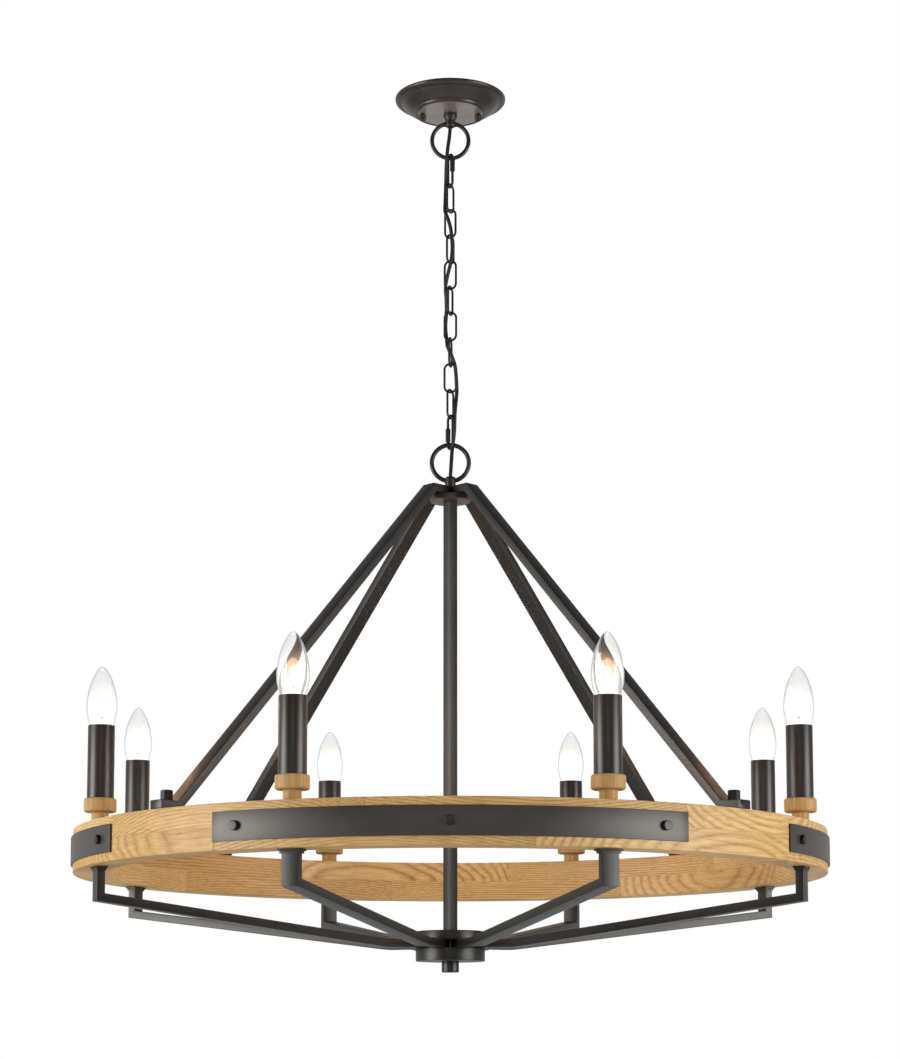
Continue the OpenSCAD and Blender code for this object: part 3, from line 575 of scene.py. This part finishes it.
def buildCord():
    path = [p / mm for p in finer(finer(cordChain)) + [Vector(p) for p in cordDrop]]
    swings = [j for j in frame["joints"] if j["name"].endswith("_swing")]
    hinges = [j["pos_m"][2] / mm for j in swings]
    cuts = [path[0].z] + [(a + b) / 2 for a, b in zip(hinges, hinges[1:])] + [path[-1].z]
    for i, joint in enumerate(swings):
        high, low = cuts[i], cuts[i + 1]
        part = [p for p in path if low - 1e-6 <= p.z <= high + 1e-6]
        ends = []
        for cut in (high, low):
            for a, b in zip(path, path[1:]):
                if a.z > cut > b.z:
                    ends.append(a.lerp(b, (a.z - cut) / (a.z - b.z)))
        part = sorted(part + ends, key=lambda p: -p.z)
        part = [p for k, p in enumerate(part) if k == 0 or (p - part[k - 1]).length > cordLook["leastStep"]]
        piece = addPiece(f"cord_{i + 1}", wire(part, cordLook["diameter"] / 2), cordSkin,
                         slot="cord_black", replaced=["supply_cord"])
        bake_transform(piece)


buildCord()
print("cord done")


# ceiling

canopyLook = {
    "sheet": 1.2, "sides": 160, "faceR": 40.5,
    # half of the section, from the rim's top over its roll, the dish and the step to the flat face
    "section": [
        (69.5, 0), (69.5, -1.6), (69.0, -3.0), (67.5, -4.3), (65.3, -5.2), (63.3, -5.4), (62.3, -5.5),
        (61.6, -5.9), (60.5, -7.3), (57.8, -10.2), (54.0, -13.2), (50.6, -15.2), (48.4, -16.2),
        (47.0, -16.5), (46.2, -16.9), (45.9, -18.0), (45.0, -19.2), (43.5, -19.8), (42.0, -19.7),
        (41.0, -19.3), (40.2, -19.2),
    ],
}


def buildCanopy():
    look = canopyLook
    deep, sheet, rim = levels["face"], look["sheet"], look["section"][0][0]
    outer = [tuple(p) for p in finer(finer(look["section"]))]
    inner = [(r - sheet * 0.6, min(z + sheet, 0)) for r, z in outer if z < -sheet][::-1] + [(rim - sheet, 0)]
    profile = outer + [(pipeHole, deep), (pipeHole, deep + sheet)] + inner
    shape = lathe(profile, look["sides"], closed=True)
    dish = addPiece("canopy_dish", shape, canopyMetal, "ceiling", replaced=["canopy"])
    # Down-facing polygons of the flat face take the lighter copy of the bronze: painted reflection of the
    # bright floor.
    dish.data.materials.append(facePaintedReflection)
    for polygon in dish.data.polygons:
        if polygon.normal.z < -0.98 and math.hypot(*polygon.center.xy) < look["faceR"] * mm:
            polygon.material_index = 1


canopyNutLook = {"gap": 69.8, "diameter": 9, "height": 10, "flutes": 18, "fluteDepth": 0.035}


def buildCanopyNuts():
    look = canopyNutLook
    r, h = look["diameter"] / 2, look["height"]
    profile = [(0, 0), (r * 0.72, 0), (r * 0.72, -1.6), (r, -1.8), (r, -h * 0.45), (r * 0.86, -h * 0.5),
               (r * 0.8, -h * 0.56), (r * 0.93, -h * 0.64), (r * 0.93, -h * 0.76), (r * 0.68, -h * 0.92),
               (r * 0.35, -h), (0, -h)]
    for i, side in enumerate((-1, 1)):
        points, faces = lathe(soften(profile, 0.35), 72)
        fluted = []
        for x, y, z in points:
            if math.hypot(x, y) > r * 0.9 and z > -h * 0.5:
                k = 1 - look["fluteDepth"] * (0.5 + 0.5 * math.cos(math.atan2(y, x) * look["flutes"]))
                x, y = x * k, y * k
            fluted.append((x, y, z))
        shape = moved((fluted, faces), side * look["gap"] / 2, 0, levels["face"])
        addPiece(f"canopy_nut_{i + 1}", shape, bronze, "ceiling", replaced=["canopy_nuts"])


loopLook = {
    "radius": 23, "topWire": 5.2, "lowWire": 5.6, "steps": 72, "edge": 0.5,
    # sections of the collars, from the canopy's face down and from the upper arms up
    "topCollar": [(3.75, 0), (8.4, 0), (8.4, -5.2), (7.6, -6.4), (6.2, -8.8), (6.2, -15.6), (5.2, -17.4),
                  (3.75, -17.4)],
    "lowCollar": [(3.75, 0), (6.7, 0), (6.7, 12.6), (5.6, 14.5), (3.75, 14.5)],
}


def loopRing(wireWidth, z):
    r, steps = loopLook["radius"], loopLook["steps"]
    angles = [2 * math.pi * k / steps for k in range(steps)]
    path = [(r * math.cos(a), 0, z + r * math.sin(a)) for a in angles]
    return wire(path, wireWidth / 2, 20, closed=True)


def buildLoop(name, end, body, node, foot):
    collar = [(r, foot + z) for r, z in loopLook[f"{end}Collar"]]
    shapes = [loopRing(loopLook[f"{end}Wire"], levels[f"{end}Loop"]),
              lathe(soften(collar, loopLook["edge"], closed=True), 48, closed=True)]
    addPiece(name, together(shapes), bronze, body, replaced=[node])


buildCanopy()
buildCanopyNuts()
buildLoop("top_loop", "top", "ceiling", "canopy_loop", levels["face"])
buildLoop("low_loop", "low", "fixture", "body_loop", levels["armTop"])
print("ceiling done")


# chain

linkLook = {
    "wire": 2.8, "inside": 33.5, "width": 11.7, "first": -111.8, "step": 33.2,
    "turns": [57, -25, 55, -15, 68, -5, 78, 0, 60], "weld": 0.86,
}
quickLook = {
    "wire": 3.3, "inside": 38.8, "width": 8.2, "gap": 5.8, "sleeve": 6.2, "sleeveLength": 17,
    "thread": 9, "pitch": 0.8, "threadShare": 0.86, "arcGap": 0.5,
    # top of the wire, turn, side of the gap, the gap's and the sleeve's lower ends
    "placed": {
        "quick_link_top": (-73.05, -62, 1, -14.15, -23.25),
        "quick_link_bottom": (-410.35, -60, -1, -30.65, -32.75),
    },
}
# angles along half a turn
halfTurn = [math.pi * k / 14 for k in range(15)]


# Middle line of a link, from the foot of its right side over the top; the top of the wire is at z 0.
def linkPath(inside, width, wireWidth):
    r = (width + wireWidth) / 2
    straight = inside - width
    arc = halfTurn[:-1]
    seam = (0.0, 0.3, 0.47, 0.485, 0.5, 0.515, 0.53, 0.7)  # the weld is at 0.5
    right = [Vector((r, 0, -r - straight + straight * t)) for t in (0.0, 0.2, 0.4, 0.6, 0.8)]
    top = [Vector((r * math.cos(a), 0, -r + r * math.sin(a))) for a in arc]
    left = [Vector((-r, 0, -r - straight * t)) for t in seam]
    low = [Vector((-r * math.cos(a), 0, -r - straight - r * math.sin(a))) for a in arc]
    shares = [1] * len(right + top) + [linkLook["weld"] if t == 0.5 else 1 for t in seam] + [1] * len(low)
    return right + top + left + low, shares


def buildLinks():
    path, shares = linkPath(linkLook["inside"], linkLook["width"], linkLook["wire"])
    for i, turn in enumerate(linkLook["turns"]):
        shape = wire(path, linkLook["wire"] / 2, 16, closed=True, shares=shares)
        shape = moved(shape, z=linkLook["first"] - i * linkLook["step"], turn=turn)
        name = f"chain_link_{i + 1}"
        addPiece(f"link_{i + 1}", shape, chainMetal, name, replaced=[name])


# From one end of the opening round to the other, with the thread's ridges near both ends.
def quickPath(side, low):
    look = quickLook
    r = (look["width"] + look["wire"]) / 2
    straight = look["inside"] - look["width"]
    high = low + look["gap"]
    path, shares = [], []

    def run(start, end, ridged):
        length = abs(end - start)
        count = int(length / look["pitch"] * 2)
        for k in range(count + 1):
            z = start + (end - start) * k / count
            near = k / count * length if ridged == "start" else (1 - k / count) * length
            path.append(Vector((side * r, 0, z)))
            shares.append(look["threadShare"] if near < look["thread"] and k % 2 else 1)

    run(high, -r - look["arcGap"], "start")
    path += [Vector((side * r * math.cos(a), 0, -r + r * math.sin(a))) for a in halfTurn]
    path += [Vector((-side * r * math.cos(a), 0, -r - straight - r * math.sin(a))) for a in halfTurn]
    shares += [1] * len(halfTurn) * 2
    run(-r - straight + look["arcGap"], low, "end")
    return path, shares


def buildQuickLinks():
    look = quickLook
    r = (look["width"] + look["wire"]) / 2
    bore, out, long = look["wire"] / 2 + 0.08, look["sleeve"] / 2, look["sleeveLength"]
    profile = soften([(bore, 0), (out - 0.3, 0), (out, 0.6), (out, long - 0.6), (out - 0.3, long),
                      (bore, long)], 0.25, closed=True)
    for name, (top, turn, side, gapLow, sleeveLow) in look["placed"].items():
        path, shares = quickPath(side, gapLow)
        shape = moved(wire(path, look["wire"] / 2, 16, shares=shares), z=top, turn=turn)
        addPiece(f"{name}_wire", shape, chainMetal, name, replaced=[name])
        shape = moved(moved(lathe(profile, 32, closed=True), side * r, 0, sleeveLow), z=top, turn=turn)
        addPiece(f"{name}_nut", shape, chainMetal, f"{name}_sleeve", replaced=[f"{name}_sleeve"])


buildLinks()
buildQuickLinks()
print("chain done")


# upper hub and arms

plateLook = {"diameter": 51, "thickness": 6.8, "edge": 0.9}
armLook = {"width": 20, "thickness": 10, "edge": 1.1, "level": 35.2, "foot": 26.5, "azimuth": 45}
stemLook = {"side": 12.7, "edge": 1.0, "bevel": 0.3}
wheelLook = {
    "outer": 454.7, "rim": 40, "upperJoint": 33.75, "lowerJoint": 11.25, "jointGap": 0.2,
    "edge": 0.9, "seam": 0.2, "bevel": 0.35, "steps": 18,
}
# Where a board was cut from its log. The rings of arched boards, cut beside the log's middle, end in
# arches: for each, the turn in degrees and the height over the middle.
grainLook = {
    "across": 45, "over": (60, 170), "turn": 5, "along": 2000, "scale": (0.8, 1.25), "chord": 0.97,
    "archAcross": (80, 105), "archScale": (0.62, 0.85),
    "arched": {
        "lower_board_1": (10, 20), "upper_board_1": (-6, -24), "lower_board_7": (20, -5),
        "upper_board_4": (5, 19), "lower_board_3": (-3, -21),
    },
}


def buildUpperHub():
    look = plateLook
    top, r = levels["armTop"] - armLook["thickness"], look["diameter"] / 2
    profile = [(pipeHole, top), (r, top), (r, top - look["thickness"]), (pipeHole, top - look["thickness"])]
    shape = lathe(soften(profile, look["edge"], closed=True), 96, closed=True)
    addPiece("arm_plate", shape, bandMetal, "fixture", replaced=["hub_plate"])


def buildUpperArms():
    look = armLook
    half = look["thickness"] / 2
    high, low = levels["armTop"] - half, levels["wheelTop"] + half
    outer = wheelLook["outer"]
    line = [(0, high), (look["level"], high), (outer - look["foot"], low), (outer, low)]
    section = rectangle(look["width"], look["thickness"], look["edge"])
    for i in range(4):
        shape = atAzimuth(bar(line, section, wedge=True), look["azimuth"] + 90 * i)
        addPiece(f"upper_bar_{i + 1}", shape, bronze, "fixture", replaced=[f"upper_arm_{i + 1}"])


def buildStem():
    low, high = levels["coverTop"], levels["stemTop"]
    section = rectangle(stemLook["side"], stemLook["side"], stemLook["edge"])
    points, faces = bar([(low, 0), (high, 0)], section, stemLook["bevel"])
    shape = moved(([(p[2], p[1], p[0]) for p in points], faces), turn=45)
    addPiece("stem_tube", shape, bronze, "fixture", replaced=["stem"])


buildUpperHub()
buildUpperArms()
buildStem()
print("upper arms done")


# wheel

def buildSegment(name, node, azimuth, low, high, edges):
    look, grain = wheelLook, grainLook
    arched = name in grain["arched"]
    half = 22.5 - math.degrees(look["jointGap"] / 2 / look["outer"])
    inner, outer = look["outer"] - look["rim"], look["outer"]
    shape = arcBar(inner, outer, low, high, azimuth - half, azimuth + half, look["steps"], edges,
                   look["bevel"])
    piece = addPiece(name, shape, wood, "fixture", "honey_wood", [node])
    side = random.choice((-1, 1))
    across = random.uniform(-grain["across"], grain["across"])
    centre = Vector((across, 0, side * random.uniform(*grain["over"])))
    tilt = random.uniform(-grain["turn"], grain["turn"])
    if arched:
        tilt, over = grain["arched"][name]
        centre = Vector((-random.uniform(*grain["archAcross"]), 0, over))
    turnBack = Matrix.Rotation(math.radians(90 - azimuth - tilt), 3, "Z")
    start = Vector((inner * grain["chord"], 0, (low + high) / 2))
    scale = random.uniform(*grain["archScale" if arched else "scale"])
    slide = Vector((0, random.uniform(-grain["along"], grain["along"]), 0))
    tint = random.random()
    setBoard(piece, lambda co: (turnBack @ (co / mm) - start + centre) * mm * scale + slide * mm, tint)


def buildWheel():
    look = wheelLook
    glued, free = [look["seam"]] * 2, [look["edge"]] * 2
    for i in range(8):
        buildSegment(f"upper_board_{i + 1}", "ring_upper", look["upperJoint"] + 22.5 + 45 * i,
                     levels["glue"], levels["wheelTop"], glued + free)
        buildSegment(f"lower_board_{i + 1}", "ring_lower", look["lowerJoint"] + 22.5 + 45 * i,
                     levels["wheelLow"], levels["glue"], free + glued)


bandLook = {
    "thickness": 2.45, "height": 32, "angle": 67.5, "gap": 0.05, "edge": 0.4, "bevel": 0.35, "steps": 40,
    "boltStep": 30, "head": 11, "headHeight": 4.5, "headEdge": 1.1,
}
armNutLook = {"r": 439.5, "across": 12, "height": 11.5}


def buildBands():
    look = bandLook
    inner = wheelLook["outer"] + look["gap"]
    middle, rise, half = levels["glue"], look["height"] / 2, look["angle"] / 2
    for i in range(4):
        shape = arcBar(inner, inner + look["thickness"], middle - rise, middle + rise,
                       90 * i - half, 90 * i + half, look["steps"], look["edge"], look["bevel"])
        addPiece(f"band_{i + 1}", shape, bandMetal, "fixture", replaced=["bands"])


def buildBolts():
    look = bandLook
    r, h = look["head"] / 2, look["headHeight"]
    profile = soften([(0, h), (r, h), (r, 0), (0, 0)], [0, look["headEdge"], 0.2, 0])
    seat = wheelLook["outer"] + look["thickness"] + 2 * look["gap"]
    number = 0
    for i in range(4):
        for k in (-1, 0, 1):
            number += 1
            points, faces = lathe(profile, 48)
            points = [(p[2], p[0], p[1]) for p in points]
            shape = atAzimuth((points, faces), 90 * i + look["boltStep"] * k, seat, levels["glue"])
            addPiece(f"band_bolt_{number}", shape, bronze, "fixture", replaced=["band_bolts"])
    for i in range(4):
        shape = atAzimuth(hexNut(armNutLook["across"], armNutLook["height"]), armLook["azimuth"] + 90 * i,
                          armNutLook["r"], levels["wheelTop"] + armLook["thickness"])
        addPiece(f"arm_nut_{i + 1}", shape, bronze, "fixture", replaced=["ring_nuts"])


buildWheel()
buildBands()
buildBolts()
print("wheel done")


# lower hub and arms

hubLook = {"radius": 42, "wall": 4, "floor": 3, "cover": 10.8, "height": 15.4, "edge": 0.8}
finialLook = {"diameter": 21, "height": 13.3, "edge": 1.0}
lowerArmLook = {
    "width": 20, "thickness": 10, "edge": 1.1, "level": 84, "start": 26, "bend": 60,
    "footLong": 14, "footWide": 28, "footThick": 5, "footStep": 0.86, "sink": 0.5,
}


def buildLowerHub():
    look = hubLook
    r, inside = look["radius"], look["radius"] - look["wall"]
    top, low = levels["coverTop"], levels["bodyLow"]
    cover = [(pipeHole, top), (r, top), (r, top - look["cover"]), (inside, top - look["cover"]),
             (inside, top - look["floor"]), (pipeHole, top - look["floor"])]
    shape = lathe(soften(cover, look["edge"], closed=True), 128, closed=True)
    addPiece("lower_cover", shape, bronze, "fixture", replaced=["hub_cover"])
    high = low + look["height"]
    body = [(inside, high), (r, high), (r, low), (pipeHole, low), (pipeHole, low + look["floor"]),
            (inside, low + look["floor"])]
    shape = lathe(soften(body, look["edge"], closed=True), 128, closed=True)
    addPiece("lower_body", shape, bronze, "fixture", replaced=["hub_body"])
    r = finialLook["diameter"] / 2
    profile = [(0, low), (r, low), (r, low - finialLook["height"]), (0, low - finialLook["height"])]
    shape = lathe(soften(profile, [0, 0.3, finialLook["edge"], 0]), 64)
    addPiece("end_knob", shape, bronze, "fixture", replaced=["finial"])


def roundCorner(a, b, c, radius, steps=8):
    a, b, c = Vector(a), Vector(b), Vector(c)
    u, w = (a - b).normalized(), (c - b).normalized()
    half = u.angle(w) / 2
    start, end = b + u * radius / math.tan(half), b + w * radius / math.tan(half)
    middle = b + (u + w).normalized() * radius / math.sin(half)
    return [tuple(middle + ((start - middle).lerp(end - middle, k / steps)).normalized() * radius)
            for k in range(steps + 1)]


def buildLowerArms():
    look = lowerArmLook
    ends = [(look["start"], levels["armLevel"]), (look["level"], levels["armLevel"]),
            (candleR, levels["corner"]), (candleR, levels["wheelLow"] - look["sink"])]
    line = [ends[0]] + roundCorner(*ends[:3], look["bend"]) + ends[2:]
    section = rectangle(look["width"], look["thickness"], look["edge"])
    x, y, top, thick = look["footLong"] / 2, look["footWide"] / 2, levels["wheelLow"], look["footThick"]
    x2, y2 = x * look["footStep"], y * look["footStep"]
    for i, azimuth in enumerate(candleAzimuths):
        shapes = [
            bar(line, section),
            block((candleR - x, candleR + x), (-y, y), (top - thick / 2, top), 0.4),
            block((candleR - x2, candleR + x2), (-y2, y2), (top - thick, top - thick / 2 + 0.2), 0.4),
        ]
        shape = atAzimuth(together(shapes), azimuth)
        addPiece(f"lower_bar_{i + 1}", shape, bronze, "fixture", replaced=[f"lower_arm_{i + 1}"])


buildLowerHub()
buildLowerArms()
print("lower arms done")


# candles and bulbs

cupLook = {
    "neck": 20, "neckHeight": 11.5, "diameter": 37.5, "height": 16, "chamfer": 1.5, "bore": 3.95, "edge": 0.6,
    # place in the log
    "over": (30, 60), "across": 20, "along": 900, "tints": (0.2, 0.8),
}
sleeveLook = {"diameter": 31, "wall": 1.2, "edge": 0.35}
bulbLook = {
    "diameter": 35.8, "height": 69.6, "wide": 22, "neckDepth": 19.5, "wall": 0.6,
    "base": 11.9, "baseLength": 19.2, "threads": 6, "threadDepth": 0.7,
}
filamentLook = {
    "half": 4.8, "height": 27, "rise": 4.5, "turns": 12, "coil": 0.45, "wire": 0.24, "steps": 60,
    "support": [(0.5, -6), (0.6, 6), (2.6, 14), (4.6, 24), (4.8, 27)], "supportWire": 0.22, "hookWire": 0.15,
    "mount": [(0, 7.5), (0.9, 7.0), (1.3, 5.5), (1.5, 0), (2.2, -8), (4.2, -16), (5.0, -18.2), (0, -18.2)],
    "bead": [(0, 11.2), (0.9, 11.0), (1.2, 9.8), (0.8, 8.6), (0, 8.4)],
}
# over the widest place: shares of the radius and of the height left
bulbTop = [(1, 0), (0.985, 0.12), (0.94, 0.26), (0.86, 0.42), (0.74, 0.58), (0.58, 0.73), (0.4, 0.86),
           (0.22, 0.95), (0.08, 0.99)]


def buildCup(i, azimuth):
    look = cupLook
    r, n, c, low = look["diameter"] / 2, look["neck"] / 2, look["chamfer"], levels["wheelTop"]
    neckTop, bore = low + look["neckHeight"], look["bore"]
    top = neckTop + look["height"]
    profile = [(bore, low), (n + 0.4, low), (n, low + 1.2), (n, neckTop - 1.6), (n + 0.8, neckTop - 0.3),
               (n + 1.6, neckTop), (r - c, neckTop), (r, neckTop + c), (r, top - c), (r - c, top),
               (bore, top)]
    shape = atAzimuth(lathe(soften(profile, look["edge"], closed=True), 72, closed=True), azimuth, candleR)
    piece = addPiece(f"cup_{i + 1}", shape, cupWood, "fixture", "cup_wood", ["candle_cups"])
    over = random.uniform(*look["over"])
    across = random.uniform(-look["across"], look["across"])
    start = Vector((over, random.uniform(-look["along"], look["along"]), across))
    tint = random.uniform(*look["tints"])
    setBoard(piece, lambda co: Vector((co.x, co.z, co.y)) + start * mm, tint)


def buildSleeve(i, azimuth):
    r, wall, edge = sleeveLook["diameter"] / 2, sleeveLook["wall"], sleeveLook["edge"]
    low, high = levels["sleeveLow"], levels["sleeveTop"]
    profile = soften([(r - wall, low), (r, low), (r, high), (r - wall, high)], edge, closed=True)
    shape = atAzimuth(lathe(profile, 72, closed=True), azimuth, candleR)
    addPiece(f"sleeve_{i + 1}", shape, sleeveMetal, "fixture", "sleeve_black", ["candle_sleeves"])


def bulbProfile():
    look = bulbLook
    d, r, top = look["diameter"], look["diameter"] / 2, look["height"] - look["wide"]
    points = [(look["base"] / 2 + 0.6, -look["neckDepth"]), (d * 0.24, -15), (d * 0.34, -7), (d * 0.388, 0),
              (d * 0.45, 8), (d * 0.488, 15)]
    points += [(r * a, look["wide"] + top * b) for a, b in bulbTop]
    return [tuple(p) for p in finer(points)]


# Outer and inner skin of the glass; the inner one faces the hollow.
def bulbShell():
    outer = bulbProfile()
    wall = bulbLook["wall"]
    inner = []
    for k, p in enumerate(outer):
        before, after = Vector(outer[max(k - 1, 0)]), Vector(outer[min(k + 1, len(outer) - 1)])
        along = (after - before).normalized()
        inner.append((max(p[0] - along.y * wall, 0.3), p[1] + along.x * wall))
    high, low = bulbLook["height"], -bulbLook["neckDepth"]
    skin = lathe([(0, high)] + outer[::-1] + [(0, low)], 56)
    hollow = lathe([(0, high - wall)] + inner[::-1] + [(0, low + wall)], 56)
    return together([skin, (hollow[0], [face[::-1] for face in hollow[1]])])


def baseProfile():
    look = bulbLook
    r, high = look["base"] / 2, -look["neckDepth"] - 0.05
    low = high - look["baseLength"] + 3.4
    points = [(0, high), (r + 0.3, high), (r, high - 1.2)]
    first, count = high - 2.5, look["threads"] * 2
    for k in range(count + 1):
        points.append((r - (look["threadDepth"] if k % 2 == 0 else 0), first - (first - low) * k / count))
    return points + [(r - 1.6, low - 1.0), (0, low - 1.0)]


# The coil's middle line, in an arch between the two support wires.
def coilPath():
    look = filamentLook
    half, count = look["half"], look["steps"]
    path = []
    for k in range(count + 1):
        t = k / count
        z = look["height"] + look["rise"] * (1 - abs(2 * t - 1) ** 1.6)
        a = t * 2 * math.pi * look["turns"]
        path.append((-half + 2 * half * t, look["coil"] * math.cos(a), z + look["coil"] * math.sin(a)))
    return path


def buildBulb(i, azimuth):
    name, look = f"bulb_{i + 1}", filamentLook
    low = -bulbLook["neckDepth"] - bulbLook["baseLength"]

    def add(part, shape, material, slot, **more):
        placed = atAzimuth(shape, azimuth, candleR, levels["sleeveTop"])
        addPiece(f"{name}_{part}", placed, material, name, slot, **more)

    def turned(profile, edge, sides=32, steps=3):
        return lathe(soften(profile, edge, steps=steps), sides)

    add("glass", bulbShell(), glass, "glass", replaced=[name], outward=False, sharp=60)
    add("base", turned(baseProfile(), 0.3, 40, 2), brass, "bulb_brass")
    ring = [(0, low + 2.4), (3.4, low + 2.4), (2.6, low + 0.9), (0, low + 0.9)]
    add("ring", turned(ring, 0.3), plastic, "socket_black")
    tip = [(0, low + 0.9), (2.1, low + 0.9), (1.7, low + 0.1), (0, low)]
    add("contact", turned(tip, 0.3), brass, "bulb_brass")
    add("mount", turned(look["mount"], 0.6), glass, "glass")
    wires = [wire(finer([(side * x, 0, z) for x, z in look["support"]]), look["supportWire"], 8)
             for side in (-1, 1)]
    wires.append(wire(finer([(0, 0, 4), (0, 0.2, 16), (0, 0, 31.5)]), look["hookWire"], 8))
    add("wires", together(wires), steel, "filament")
    add("bead", turned(look["bead"], 0.4, 24), plastic, "filament")
    add("filament", wire(coilPath(), look["wire"], 8), filament, "filament")


for index, azimuth in enumerate(candleAzimuths):
    buildCup(index, azimuth)
    buildSleeve(index, azimuth)
    buildBulb(index, azimuth)
print("candles done")


# pieces of the CAD model that stay, with their finish

kept = {
    "mounting_strap": steel, "strap_screws": steel, "loop_nipple": steel, "nipple_nut": steel,
    "stem_pipe": steel, "ring_studs": steel, "socket_nipples": steel,
    "wire_connectors": plastic, "sockets": plastic, "arm_leads": cordSkin,
}
for name, material in kept.items():
    mesh = frame["nodes"][name].data
    mesh.materials.clear()
    mesh.materials.append(material)


# floor and light, in metres but for the glow's height

lampAim = (0, 0, -0.8)
lamps = {
    "softLeft": {"place": (-3.0, -1.3, -0.9), "size": 2.0, "power": 86, "colour": (1.0, 1.0, 0.98)},
    "softRight": {"place": (2.9, -1.6, -0.9), "size": 2.0, "power": 77, "colour": (1.0, 1.0, 0.98)},
    "softFront": {"place": (0, -3.6, -0.4), "size": 1.2, "power": 6, "colour": (1.0, 1.0, 0.98)},
    "softLow": {"place": (0, 0.6, -2.7), "size": 2.2, "power": 7, "colour": (1.0, 0.98, 0.96)},
}
glow = {"power": 0.6, "colour": (1.0, 0.48, 0.22), "height": 29, "radius": 0.010}
# What shiny pieces mirror: the room gets brighter from the front and the ceiling towards brightWay.
skyLook = {
    "diffuse": 0.18, "gloss": 1.0, "floor": -2.9, "floorHalf": 5, "brightWay": (-0.2, 0.6, -0.77),
    "tones": [(0.0, 0.025), (0.2, 0.05), (0.44, 0.22), (0.6, 0.60), (0.9, 0.64)],
}


def buildLights():
    for name, look in lamps.items():
        data = bpy.data.lights.new(name, "AREA")
        data.shape = "DISK"
        data.size = look["size"]
        data.energy = look["power"]
        data.color = look["colour"]
        lamp = bpy.data.objects.new(name, data)
        lamp.location = look["place"]
        lamp.rotation_euler = (Vector(lampAim) - Vector(look["place"])).to_track_quat("-Z", "Y").to_euler()
        scene.collection.objects.link(lamp)
    for i, azimuth in enumerate(candleAzimuths):
        data = bpy.data.lights.new(f"glow_{i + 1}", "POINT")
        data.energy = glow["power"]
        data.color = glow["colour"]
        data.shadow_soft_size = glow["radius"]
        lamp = bpy.data.objects.new(f"glow_{i + 1}", data)
        lamp.visible_transmission = False
        a = math.radians(azimuth)
        height = (levels["sleeveTop"] + glow["height"]) * mm
        lamp.location = (candleR * mm * math.sin(a), -candleR * mm * math.cos(a), height)
        scene.collection.objects.link(lamp)


def buildSky():
    world = bpy.data.worlds.new("studio")
    scene.world = world
    world.use_nodes = True
    tree = world.node_tree
    tree.nodes.clear()
    output = tree.nodes.new("ShaderNodeOutputWorld")
    rays = addNode(tree, "ShaderNodeLightPath")
    place = addNode(tree, "ShaderNodeTexCoord").outputs["Generated"]
    depth = addNode(tree, "ShaderNodeVectorMath", {0: place, 1: skyLook["brightWay"]},
                    operation="DOT_PRODUCT").outputs["Value"]
    room = addRamp(tree, addRange(tree, depth, -1.0, 1.0), skyLook["tones"])
    soft = addNode(tree, "ShaderNodeBackground", {"Color": (1, 1, 1, 1), "Strength": skyLook["diffuse"]})
    shine = addNode(tree, "ShaderNodeBackground", {"Color": room, "Strength": skyLook["gloss"]})
    white = addNode(tree, "ShaderNodeBackground", {"Color": (1, 1, 1, 1), "Strength": 1.0})
    seen = addNode(tree, "ShaderNodeMath", {
        0: rays.outputs["Is Camera Ray"], 1: rays.outputs["Is Transmission Ray"]}, operation="MAXIMUM")
    first = addNode(tree, "ShaderNodeMixShader", {
        0: rays.outputs["Is Glossy Ray"], 1: soft.outputs["Background"], 2: shine.outputs["Background"]})
    second = addNode(tree, "ShaderNodeMixShader", {
        0: seen.outputs["Value"], 1: first.outputs["Shader"], 2: white.outputs["Background"]})
    tree.links.new(second.outputs["Shader"], output.inputs["Surface"])


def buildFloor():
    size, height = skyLook["floorHalf"], skyLook["floor"]
    corners = [(x * size, y * size, height) for x, y in ((-1, -1), (1, -1), (1, 1), (-1, 1))]
    mesh = bpy.data.meshes.new("floor")
    mesh.from_pydata(corners, [], [(0, 1, 2, 3)])
    material, tree, output = startMaterial("floorPaint")
    clouds = addNoise(tree, objectPlace(tree), 3, 3)
    tone = addRamp(tree, clouds, [(0.3, 0.80), (0.7, 0.84)])
    addSurface(tree, output, {"Base Color": tone, "Roughness": 0.8})
    mesh.materials.append(material)
    floor = bpy.data.objects.new("floor", mesh)
    scene.collection.objects.link(floor)


buildLights()
buildSky()
buildFloor()
scene.view_settings.view_transform = "Standard"
print("lights done")
